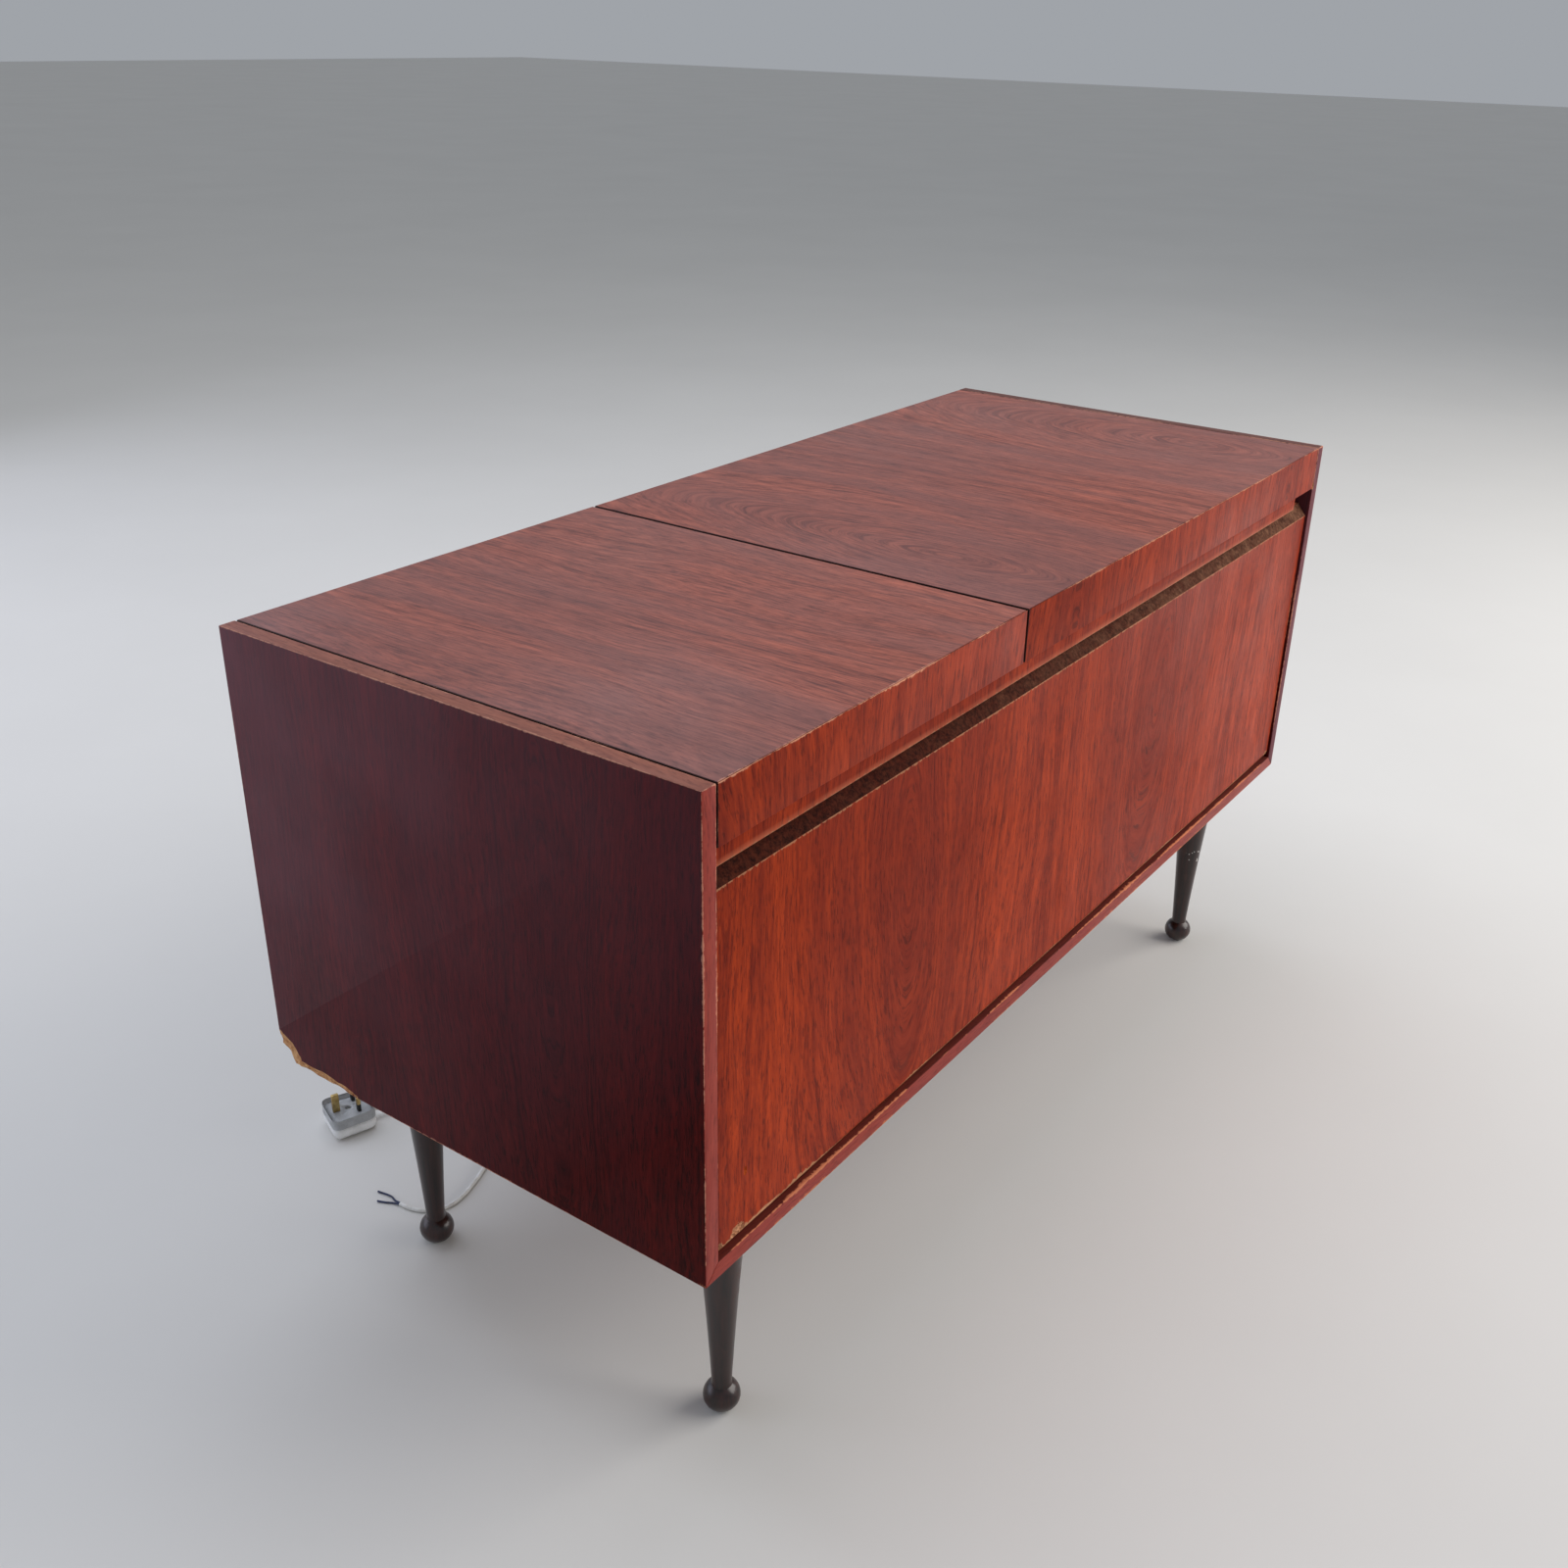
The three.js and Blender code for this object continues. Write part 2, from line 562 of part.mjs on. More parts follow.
function makeStay(name, plan, side, bracketOf) {
  const across = (from, to) => [side * (INNER_X - from), side * (INNER_X - to)].sort((a, b) => a - b);
  const barX = across(STAY_OUTER_GAP, STAY_OUTER_GAP + STAY_BAR_THICKNESS);
  addPart(`${name}_bar`, laidInPlane(barShape(plan.length), ...barX, plan.arm, plan.angle), steel);

  // The guide is a short block that the bar runs through, with a spigot towards the side panel.
  const guideHalf = STAY_BAR_WIDTH / 2 + GUIDE_WALL;
  const bodyX = across(STAY_OUTER_GAP - GUIDE_CHEEK, STAY_OUTER_GAP + STAY_BAR_THICKNESS + GUIDE_CHEEK);
  const slotX = across(
    STAY_OUTER_GAP - STAY_SLIDE_GAP, STAY_OUTER_GAP + STAY_BAR_THICKNESS + STAY_SLIDE_GAP,
  );
  const slotHalf = STAY_BAR_WIDTH / 2 + STAY_SLIDE_GAP;
  const place = (geometry) => geometry.rotateX(plan.angle).translate(0, plan.guide.y, plan.guide.z);
  const body = block(...bodyX, -GUIDE_LENGTH / 2, GUIDE_LENGTH / 2, -guideHalf, guideHalf);
  const slot = block(...slotX, -GUIDE_LENGTH, GUIDE_LENGTH, -slotHalf, slotHalf);
  const spigot = rodAlongX(SPIGOT_RADIUS, ...across(FIT, STAY_OUTER_GAP - GUIDE_CHEEK + 0.5), 0, 0);
  addPart(`${name}_guide`, place(join(cut(body, slot), spigot)), steel);

  // The bracket's stud goes through the bar's eye.
  const stud = rodAlongX(
    STAY_STUD_RADIUS, ...across(STAY_OUTER_GAP - 1, STAY_OUTER_GAP + STAY_BAR_THICKNESS + 4),
    plan.arm.y, plan.arm.z, 12,
  );
  const pastBar = STAY_OUTER_GAP + STAY_BAR_THICKNESS;
  const lugX = across(pastBar + FIT, pastBar + FIT + 2);
  const footX = across(pastBar + FIT, pastBar + BRACKET_FOOT);
  addPart(`${name}_bracket`, join(stud, ...bracketOf(lugX, footX)), steel);
}

const deg = THREE.MathUtils.degToRad;
const LID_STAY = stayPlan(LID_AXIS, LID_STAY_REACH, deg(188), deg(25), LID_OPEN_DEG);
const FLAP_STAY = stayPlan(FLAP_AXIS, FLAP_STAY_REACH, deg(84), deg(-20), FLAP_OPEN_DEG);

const lidBracket = (lugX, footX) => {
  const { y, z } = LID_STAY.arm;
  const foot = LID_UNDER_Z - FIT;
  return [
    block(...lugX, y - BRACKET_HALF / 2, y + BRACKET_HALF / 2, z - BRACKET_HALF / 2, foot),
    block(...footX, y - BRACKET_HALF, y + BRACKET_HALF, foot - BRACKET_SHEET, foot),
  ];
};
const flapBracket = (lugX, footX) => {
  const { y, z } = FLAP_STAY.arm;
  const foot = FLAP_BACK_Y + FIT;
  return [
    block(...lugX, foot, y + BRACKET_HALF / 2, z - BRACKET_HALF / 2, z + BRACKET_HALF / 2),
    block(...footX, foot, foot + BRACKET_SHEET, z - BRACKET_HALF, z + BRACKET_HALF),
  ];
};
for (const [side, sign] of [['left', -1], ['right', 1]]) {
  makeStay(`lid_${side}_stay`, LID_STAY, sign, lidBracket);
  makeStay(`flap_${side}_stay`, FLAP_STAY, sign, flapBracket);
}

// ---------------------------------------------------------------- legs
// Turned legs taper to a thin neck over a ball foot. Each turns onto a stud in a steel plate that is
// screwed under the case.
const LEG_TOP_Z = BASE_Z - LEG_PLATE_THICKNESS - 2 * FIT;

function legProfile() {
  const bore = STUD_RADIUS + FIT;
  const boreLow = LEG_TOP_Z - STUD_LENGTH + 6;
  const flat = 7;
  const points = [[0, boreLow], [bore, boreLow], [bore, LEG_TOP_Z], [LEG_TOP_RADIUS, LEG_TOP_Z]];
  const taperSteps = 5;
  const run = LEG_TOP_Z - LEG_NECK_HEIGHT;
  for (let i = 1; i <= taperSteps; i += 1) {
    const t = 1 - i / taperSteps;
    const radius = LEG_NECK_RADIUS + (LEG_TOP_RADIUS - LEG_NECK_RADIUS) * (0.72 * t + 0.28 * t * t);
    points.push([radius, LEG_NECK_HEIGHT + run * t]);
  }
  const ballHeight = BALL_CENTRE / Math.cos(Math.asin(flat / BALL_RADIUS));
  const from = Math.asin((LEG_NECK_RADIUS + 0.4) / BALL_RADIUS);
  const to = Math.PI - Math.asin(flat / BALL_RADIUS);
  const ballSteps = 7;
  for (let i = 0; i <= ballSteps; i += 1) {
    const angle = from + ((to - from) * i) / ballSteps;
    points.push([BALL_RADIUS * Math.sin(angle), BALL_CENTRE + ballHeight * Math.cos(angle)]);
  }
  points[points.length - 1] = [flat, 0];
  points.push([0, 0]);
  return points.reverse();
}

const LEG_PLACES = {
  front_left: [-SIDE_X + LEG_SIDE_INSET, FRONT_Y + LEG_FRONT_INSET],
  front_right: [SIDE_X - LEG_SIDE_INSET, FRONT_Y + LEG_FRONT_INSET],
  back_left: [-SIDE_X + LEG_SIDE_INSET, REAR_Y - LEG_BACK_INSET],
  back_right: [SIDE_X - LEG_SIDE_INSET, REAR_Y - LEG_BACK_INSET],
};
for (const [place, [x, y]] of Object.entries(LEG_PLACES)) {
  addPart(`leg_${place}`, turned(legProfile(), 22).translate(x, y, 0), legStain);
  const plateLow = LEG_TOP_Z + FIT;
  const plateTop = BASE_Z - FIT;
  const studLow = LEG_TOP_Z - STUD_LENGTH + 8;
  const rod = (radius, low, high) => [[0, low], [radius, low], [radius, high], [0, high]];
  const plate = turned(rod(LEG_PLATE_RADIUS, plateLow, plateTop), 24);
  const stud = turned(rod(STUD_RADIUS, studLow, plateLow + 1), 12);
  const fixing = join(plate, stud);
  addPart(`leg_plate_${place}`, fixing.translate(x, y, 0), steel);
}

// ---------------------------------------------------------------- record deck
// A platter with its spindle and mat, and a pick-up arm on a pillar, on the left deck board.
const DECK_X = (LEFT_WELL[0] + LEFT_WELL[1]) / 2 - 22;
const DECK_Y = -18;
const PLATTER_LOW_Z = DECK_TOP_Z + PLATTER_LIFT;
const PLATTER_TOP_Z = PLATTER_LOW_Z + PLATTER_HEIGHT;
const ARM_X = DECK_X + PLATTER_RADIUS + 32;
const ARM_Y = DECK_Y + 118;
const ARM_Z = PLATTER_TOP_Z + ARM_RISE;
const HUB_LOW_Z = ARM_Z - 5;
const HUB_TOP_Z = ARM_Z + 6;
const DECK_SIDES = 48;
addPart(
  'platter',
  turned(
    [
      [0, DECK_TOP_Z + FIT],
      [BEARING_RADIUS, DECK_TOP_Z + FIT],
      [BEARING_RADIUS, PLATTER_LOW_Z],
      [PLATTER_RADIUS - 4, PLATTER_LOW_Z],
      [PLATTER_RADIUS, PLATTER_LOW_Z + 3],
      [PLATTER_RADIUS, PLATTER_TOP_Z],
      [SPINDLE_RADIUS, PLATTER_TOP_Z],
      [SPINDLE_RADIUS, PLATTER_TOP_Z + SPINDLE_HEIGHT - 2],
      [0, PLATTER_TOP_Z + SPINDLE_HEIGHT],
    ],
    DECK_SIDES,
  ).translate(DECK_X, DECK_Y, 0),
  creamPaint,
);
addPart(
  'platter_mat',
  turned(
    [
      [SPINDLE_RADIUS + FIT, PLATTER_TOP_Z + FIT],
      [PLATTER_RADIUS - 2, PLATTER_TOP_Z + FIT],
      [PLATTER_RADIUS - 3, PLATTER_TOP_Z + MAT_THICKNESS],
      [SPINDLE_RADIUS + FIT, PLATTER_TOP_Z + MAT_THICKNESS],
      [SPINDLE_RADIUS + FIT, PLATTER_TOP_Z + FIT],
    ],
    DECK_SIDES,
  ).translate(DECK_X, DECK_Y, 0),
  rubber,
);
addPart(
  'arm_pillar',
  turned(
    [
      [0, DECK_TOP_Z + FIT],
      [PILLAR_FOOT_RADIUS, DECK_TOP_Z + FIT],
      [PILLAR_FOOT_RADIUS, DECK_TOP_Z + 4],
      [PILLAR_RADIUS, DECK_TOP_Z + 7],
      [PILLAR_RADIUS, HUB_LOW_Z - FIT],
      [0, HUB_LOW_Z - FIT],
    ],
    24,
  ).translate(ARM_X, ARM_Y, 0),
  creamPaint,
);

// The arm is a hub on the pillar, a bar, the pick-up at its front end and a weight behind the hub.
function makeArm() {
  const hubRound = [[0, HUB_LOW_Z], [HUB_RADIUS, HUB_LOW_Z], [HUB_RADIUS, HUB_TOP_Z], [0, HUB_TOP_Z]];
  const hub = turned(hubRound, 24).translate(ARM_X, ARM_Y, 0);
  const front = ARM_Y - ARM_LENGTH;
  const centred = (width, y0, y1, z0, z1) => block(ARM_X - width / 2, ARM_X + width / 2, y0, y1, z0, z1);
  const bar = centred(ARM_WIDTH, front + 30, ARM_Y + 34, ARM_Z - 3, ARM_Z + 3);
  const pickup = centred(PICKUP.width, front, front + PICKUP.length, ARM_Z - PICKUP.depth, ARM_Z + 3);
  const weight = centred(
    2 * WEIGHT.half, ARM_Y + WEIGHT.front, ARM_Y + WEIGHT.back, ARM_Z - WEIGHT.depth, ARM_Z + WEIGHT.depth,
  );
  addPart('pickup_arm', join(hub, bar, pickup, weight), creamPaint);
}
makeArm();

// ---------------------------------------------------------------- mains lead
// The lead leaves its gland, drops to the floor behind the case, lies in a coil there and ends in a
// square plug that lies on its back with its pins up.
const GLAND_FACE_Y = BACK_Y + BACK_THICKNESS + 2.5;
const LEAD_Z = LEAD_DIAMETER / 2 + CORD_CLEARANCE;
const COIL = { x: -225, y: 352 };
const COIL_TOUCH = COIL_MIDDLE_RADIUS + 1.5 * LEAD_DIAMETER + FIT; // coil's middle to a lead beside it
const COIL_OUTER = COIL_MIDDLE_RADIUS + LEAD_DIAMETER;
const COIL_INNER = COIL_MIDDLE_RADIUS - LEAD_DIAMETER;
const COIL_HEIGHT = 3 * LEAD_DIAMETER;
const PLUG = { x: -443, y: 394, turn: deg(-22) };
const plugPoint = (along, across) => [
  PLUG.x + along * Math.cos(PLUG.turn) - across * Math.sin(PLUG.turn),
  PLUG.y + along * Math.sin(PLUG.turn) + across * Math.cos(PLUG.turn),
];

// Points of a quarter turn about a centre, between two reaches from it at right angles.
function quarterTurn(centre, fromReach, toReach) {
  const steps = 4;
  return Array.from({ length: steps + 1 }, (_, i) => {
    const angle = (Math.PI / 2) * (i / steps);
    return centre.map((at, axis) => (
      at + fromReach[axis] * Math.cos(angle) + toReach[axis] * Math.sin(angle)
    ));
  });
}

const LEAD_DROP_Y = GLAND_FACE_Y + LEAD_STRAIGHT + LEAD_BEND;
addPart(
  'mains_lead_drop',
  tube(
    [
      [MAINS_EXIT.x, GLAND_FACE_Y + FIT, MAINS_EXIT.z],
      ...quarterTurn(
        [MAINS_EXIT.x, GLAND_FACE_Y + LEAD_STRAIGHT, MAINS_EXIT.z - LEAD_BEND],
        [0, 0, LEAD_BEND],
        [0, LEAD_BEND, 0],
      ),
      [MAINS_EXIT.x, LEAD_DROP_Y, 180],
      [MAINS_EXIT.x, LEAD_DROP_Y, 100],
      ...quarterTurn(
        [MAINS_EXIT.x + LEAD_BEND, LEAD_DROP_Y, LEAD_Z + LEAD_BEND],
        [-LEAD_BEND, 0, 0],
        [0, 0, -LEAD_BEND],
      ),
      [COIL.x, COIL.y - COIL_TOUCH, LEAD_Z],
    ],
    LEAD_DIAMETER, 10, 48,
  ),
  whitePlastic,
);
addPart(
  'mains_coil',
  turned(
    [
      [COIL_INNER, 0.1],
      [COIL_OUTER, 0.1],
      [COIL_OUTER, COIL_HEIGHT],
      [COIL_INNER, COIL_HEIGHT],
      [COIL_INNER, 0.1],
    ],
    32,
  ).translate(COIL.x, COIL.y, 0),
  whitePlastic,
);
const LEAD_LEAVES_PLUG_Z = 13;
addPart(
  'mains_lead_tail',
  tube(
    [
      [...plugPoint(PLUG_SIZE / 2 + FIT, 0), LEAD_LEAVES_PLUG_Z],
      [...plugPoint(PLUG_SIZE / 2 + 11, 0), LEAD_LEAVES_PLUG_Z],
      [...plugPoint(PLUG_SIZE / 2 + 21, 0), LEAD_LEAVES_PLUG_Z - 1.1],
      [...plugPoint(PLUG_SIZE / 2 + 31, 0), (LEAD_LEAVES_PLUG_Z + LEAD_Z) / 2],
      [...plugPoint(PLUG_SIZE / 2 + 41, 0), LEAD_Z + 1.1],
      [...plugPoint(PLUG_SIZE / 2 + 51, 0), LEAD_Z],
      [-353.4, 360.6, LEAD_Z],
      [-333.6, 360.9, LEAD_Z],
      [-314.8, 366.6, LEAD_Z],
      [-298, 377, LEAD_Z],
      [-266, 393, LEAD_Z],
      [-243, 400.2, LEAD_Z],
      [COIL.x, COIL.y + COIL_TOUCH, LEAD_Z],
    ],
    LEAD_DIAMETER, 10, 22,
  ),
  whitePlastic,
);

// Plug outline: a square with rounded corners, narrowed a little at the lead's end.
function plugOutline(size) {
  const half = size / 2;
  const corner = 9;
  const narrow = 3;
  const shape = new THREE.Shape();
  shape.moveTo(-half + corner, -half);
  shape.lineTo(half - corner, -half + narrow);
  shape.quadraticCurveTo(half, -half + narrow, half, -half + narrow + corner);
  shape.lineTo(half, half - narrow - corner);
  shape.quadraticCurveTo(half, half - narrow, half - corner, half - narrow);
  shape.lineTo(-half + corner, half);
  shape.quadraticCurveTo(-half, half, -half, half - corner);
  shape.lineTo(-half, -half + corner);
  shape.quadraticCurveTo(-half, -half, -half + corner, -half);
  return shape;
}
const placePlug = (geometry) => geometry.rotateZ(PLUG.turn).translate(PLUG.x, PLUG.y, 0);
const PLUG_FACE_Z = PLUG_COVER_HEIGHT + FIT + PLUG_BASE_HEIGHT;
addPart('plug_cover', placePlug(alongZ(plugOutline(PLUG_SIZE), 0.1, PLUG_COVER_HEIGHT)), whitePlastic);
const pin = (size, along, across) => block(
  along - size.along / 2, along + size.along / 2, across - size.across / 2, across + size.across / 2,
  PLUG_FACE_Z - 1, PLUG_FACE_Z + size.length,
);
const LINE_PINS_ALONG = 8;
addPart(
  'plug_base',
  placePlug(join(
    alongZ(plugOutline(PLUG_SIZE), PLUG_COVER_HEIGHT + FIT, PLUG_FACE_Z),
    pin(LINE_PIN, LINE_PINS_ALONG, PIN_PITCH / 2),
    pin(LINE_PIN, LINE_PINS_ALONG, -PIN_PITCH / 2),
    pin(EARTH_PIN, LINE_PINS_ALONG - PIN_PITCH, 0),
  )),
  whitePlastic,
);

// ---------------------------------------------------------------- thin flex
// A thin two-core flex leaves its own gland, drops to the floor and runs forward under the case. Its
// sheath ends behind the back left leg, and its two cores splay out bare.
const FLEX_Z = FLEX_DIAMETER / 2 + CORD_CLEARANCE;
const CORE_Z = CORE_DIAMETER / 2 + CORD_CLEARANCE;
const SHEATH_END = [-502, 247];
const FLEX_DROP_Y = GLAND_FACE_Y + FLEX_STRAIGHT + FLEX_BEND;
addPart(
  'thin_flex',
  tube(
    [
      [FLEX_EXIT.x, GLAND_FACE_Y + FIT, FLEX_EXIT.z],
      ...quarterTurn(
        [FLEX_EXIT.x, GLAND_FACE_Y + FLEX_STRAIGHT, FLEX_EXIT.z - FLEX_BEND],
        [0, 0, FLEX_BEND],
        [0, FLEX_BEND, 0],
      ),
      [FLEX_EXIT.x, FLEX_DROP_Y, 190],
      [FLEX_EXIT.x, FLEX_DROP_Y, 90],
      ...quarterTurn(
        [FLEX_EXIT.x, FLEX_DROP_Y - FLEX_BEND, FLEX_Z + FLEX_BEND],
        [0, FLEX_BEND, 0],
        [0, 0, -FLEX_BEND],
      ),
      [FLEX_EXIT.x - 4, 250, FLEX_Z],
      [FLEX_EXIT.x - 14, 240.5, FLEX_Z],
      [FLEX_EXIT.x - 36, 229.5, FLEX_Z],
      [-406, 219, FLEX_Z],
      [-430, 210, FLEX_Z],
      [-455, 203.5, FLEX_Z],
      [-475, 204, FLEX_Z],
      [-491, 214, FLEX_Z],
      [-500, 231, FLEX_Z],
      [...SHEATH_END, FLEX_Z],
    ],
    FLEX_DIAMETER, 8, 72,
  ),
  whitePlastic,
);
addPart(
  'flex_core_a',
  tube(
    [
      [SHEATH_END[0] + 1.1, SHEATH_END[1] + FIT + 0.2, CORE_Z + 1],
      [SHEATH_END[0] + 1, SHEATH_END[1] + 8, CORE_Z],
      [SHEATH_END[0] + 3, SHEATH_END[1] + 18, CORE_Z],
      [SHEATH_END[0] + 0, SHEATH_END[1] + 35, CORE_Z],
    ],
    CORE_DIAMETER, 8, 10,
  ),
  bluePlastic,
);
addPart(
  'flex_core_b',
  tube(
    [
      [SHEATH_END[0] - 1.1, SHEATH_END[1] + FIT + 0.2, CORE_Z + 1],
      [SHEATH_END[0] - 3, SHEATH_END[1] + 8, CORE_Z],
      [SHEATH_END[0] - 7, SHEATH_END[1] + 15, CORE_Z],
      [SHEATH_END[0] - 11, SHEATH_END[1] + 24, CORE_Z],
    ],
    CORE_DIAMETER, 8, 8,
  ),
  bluePlastic,
);

export default cabinet;
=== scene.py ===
import math

import bpy
from mathutils import Matrix, Vector


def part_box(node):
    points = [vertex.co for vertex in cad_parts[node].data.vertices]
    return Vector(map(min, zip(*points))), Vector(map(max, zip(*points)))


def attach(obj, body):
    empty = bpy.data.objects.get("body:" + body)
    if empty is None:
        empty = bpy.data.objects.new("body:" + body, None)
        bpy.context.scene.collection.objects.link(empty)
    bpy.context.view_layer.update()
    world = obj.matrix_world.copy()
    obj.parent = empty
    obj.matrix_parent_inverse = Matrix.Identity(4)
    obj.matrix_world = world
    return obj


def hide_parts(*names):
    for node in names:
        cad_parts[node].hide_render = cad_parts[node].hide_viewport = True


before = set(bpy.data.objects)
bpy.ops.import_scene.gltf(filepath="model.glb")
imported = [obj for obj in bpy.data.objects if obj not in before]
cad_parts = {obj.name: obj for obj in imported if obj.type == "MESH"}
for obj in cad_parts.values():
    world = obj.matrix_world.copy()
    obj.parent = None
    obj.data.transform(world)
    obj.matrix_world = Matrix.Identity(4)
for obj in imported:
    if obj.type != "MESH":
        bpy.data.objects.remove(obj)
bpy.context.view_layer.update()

MM = 0.001
FIT = 0.3 * MM  # the gap between pieces that touch

# ---------------------------------------------------------------- camera, lights and floor
# The cabinet stands on a plain pale floor and is seen from head height over its front left
# corner. One broad window light comes from the right of the front, and pale walls fill the rest.
camera_data = bpy.data.cameras.new("camera")
camera_data.sensor_width = 36.0
camera_data.lens = 36.49
camera_data.shift_x = -0.0190
camera_data.shift_y = 0.0036
camera = bpy.data.objects.new("camera", camera_data)
bpy.context.scene.collection.objects.link(camera)
CAMERA_PLACE = Vector((-1.3445, -0.8474, 1.1434))
camera_turn = (
    Matrix.Rotation(math.radians(-55.57), 4, "Z")
    @ Matrix.Rotation(math.radians(63.97), 4, "X")
    @ Matrix.Rotation(math.radians(1.44), 4, "Z")
)
camera.matrix_world = Matrix.Translation(CAMERA_PLACE) @ camera_turn
bpy.context.scene.camera = camera
bpy.context.scene.view_settings.view_transform = "Standard"


def tone(red, green, blue):
    """A colour as the eye reads it, 0 to 255, in the linear values that shaders take."""
    return tuple((value / 255) ** 2.2 for value in (red, green, blue)) + (1.0,)


def soft_light(name, place, aim, size, power, colour):
    """A rectangular area light that faces a point."""
    data = bpy.data.lights.new(name, "AREA")
    data.shape = "RECTANGLE"
    data.size, data.size_y = size
    data.energy = power
    data.color = colour[:3]
    light = bpy.data.objects.new(name, data)
    bpy.context.scene.collection.objects.link(light)
    direction = Vector(aim) - Vector(place)
    turn = direction.to_track_quat("-Z", "Y").to_matrix().to_4x4()
    light.matrix_world = Matrix.Translation(Vector(place)) @ turn


soft_light("window_light", (2.5, -2.9, 2.4), (0, 0, 0.45), (4.0, 3.2), 160, tone(255, 250, 244))
soft_light("high_light", (0.2, 0.9, 3.4), (0, 0, 0.6), (3.2, 2.6), 46, tone(236, 242, 255))
soft_light("wall_glow", (-0.9, 3.2, 1.5), (-0.4, 0, 0.7), (3.6, 2.0), 26, tone(226, 232, 255))
soft_light("left_glow", (-2.6, 2.2, 1.1), (-0.6, 0.1, 0.5), (1.6, 1.6), 9, tone(226, 232, 255))

world = bpy.data.worlds.new("pale_room")
world.use_nodes = True
world.node_tree.nodes["Background"].inputs["Color"].default_value = tone(208, 213, 220)
world.node_tree.nodes["Background"].inputs["Strength"].default_value = 0.55
bpy.context.scene.world = world


def feed(tree, socket, value):
    """Links a socket to another's output, or gives it a value."""
    if isinstance(value, bpy.types.NodeSocket):
        tree.links.new(value, socket)
    elif value is not None:
        socket.default_value = value


def shader(name):
    """A new material with one Principled BSDF."""
    material = bpy.data.materials.new(name)
    material.use_nodes = True
    return material, material.node_tree, material.node_tree.nodes["Principled BSDF"]


def set_finish(surface, **sockets):
    """Sets a shader's sockets by name, to values or to other nodes' outputs."""
    for label, value in sockets.items():
        feed(surface.id_data, surface.inputs[label.replace("_", " ")], value)


def noise(tree, vector, scale, detail=3.0, roughness=0.5):
    made = tree.nodes.new("ShaderNodeTexNoise")
    feed(tree, made.inputs["Vector"], vector)
    feed(tree, made.inputs["Scale"], scale)
    made.inputs["Detail"].default_value = detail
    made.inputs["Roughness"].default_value = roughness
    return made.outputs["Fac"]


def span(tree, value, low, high, to_low=0.0, to_high=1.0):
    """Carries a value from one range to another, held at both ends."""
    made = tree.nodes.new("ShaderNodeMapRange")
    for socket, number in zip(made.inputs, (value, low, high, to_low, to_high)):
        feed(tree, socket, number)
    return made.outputs["Result"]


def mix(tree, share, first, second, blend="MIX"):
    made = tree.nodes.new("ShaderNodeMix")
    made.data_type = "RGBA"
    made.blend_type = blend
    feed(tree, made.inputs["Factor"], share)
    feed(tree, made.inputs[6], first)
    feed(tree, made.inputs[7], second)
    return made.outputs[2]


def own_coords(tree):
    return tree.nodes.new("ShaderNodeTexCoord").outputs["Object"]


def blotches(tree, scale, detail, roughness, low, high, to_low=0.0, to_high=1.0):
    """Noise over a piece, cut off at a low and a high level."""
    return span(tree, noise(tree, own_coords(tree), scale, detail, roughness), low, high, to_low, to_high)


def bump(tree, surface, height, strength, depth):
    """Fine relief, of a depth in millimetres."""
    made = tree.nodes.new("ShaderNodeBump")
    made.inputs["Strength"].default_value = strength
    made.inputs["Distance"].default_value = depth * MM
    feed(tree, made.inputs["Height"], height)
    set_finish(surface, Normal=made.outputs["Normal"])


def give(piece, *materials):
    piece.data.materials.clear()
    for material in materials:
        piece.data.materials.append(material)


bpy.ops.object.select_all(action="DESELECT")
bpy.ops.mesh.primitive_plane_add(size=60.0)
floor = bpy.context.object
floor.name = "floor"
floor_paint, tree, surface = shader("pale_floor")
cloud = noise(tree, own_coords(tree), 1.3, 6.0, 0.6)
set_finish(
    surface,
    Roughness=0.75,
    Base_Color=mix(tree, cloud, tone(212, 210, 206), tone(222, 220, 216)),
)
give(floor, floor_paint)

# ---------------------------------------------------------------- mains lead
# A white PVC mains lead, 7 mm thick, leaves a moulded sleeve in the back panel, drops behind the
# case, and lies on the floor in a coil of four and a half turns before it reaches its plug.
LEAD = 7 * MM
ABOVE_FLOOR = 0.4  # millimetres under a cord that lies on the floor
LEAD_Z = LEAD / 2 + ABOVE_FLOOR * MM
LEAD_PITCH = 7.1 * MM  # turn to turn, in the coil
LEAD_STRAIGHT = 20  # millimetres out of the sleeve, before the first bend
LEAD_BEND = 31


def node_box(node):
    return tuple(Vector(corner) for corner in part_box(node))


def cord_exit(gland):
    """Where a cord comes out of the middle of its gland."""
    low, high = node_box(gland)
    return Vector(((low.x + high.x) / 2, high.y + FIT, (low.z + high.z) / 2))


def install(piece, body, slot, *nodes):
    """Names the body a piece moves with and hides the nodes it stands in for. The slot is not used."""
    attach(piece, body)
    if nodes:
        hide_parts(*nodes)


lead_exit = cord_exit("mains_gland")
coil_low, coil_high = node_box("mains_coil")
COIL_MIDDLE = (coil_low + coil_high) / 2
COIL_RADIUS = (coil_high.x - coil_low.x) / 2 - LEAD / 2  # the outer turns
BESIDE_COIL = COIL_RADIUS + 7.3 * MM
PLUG_MIDDLE = Vector((-0.443, 0.394, 0))
PLUG_TURN = math.radians(-22)
PLUG_SIZE = 50 * MM
LEAVES_PLUG_Z = 13 * MM


def plug_point(along, z):
    """A point on the line of the lead's end, so many millimetres from the plug's middle."""
    turned = Matrix.Rotation(PLUG_TURN, 4, "Z") @ Vector((along * MM, 0, 0))
    return PLUG_MIDDLE + turned + Vector((0, 0, z))


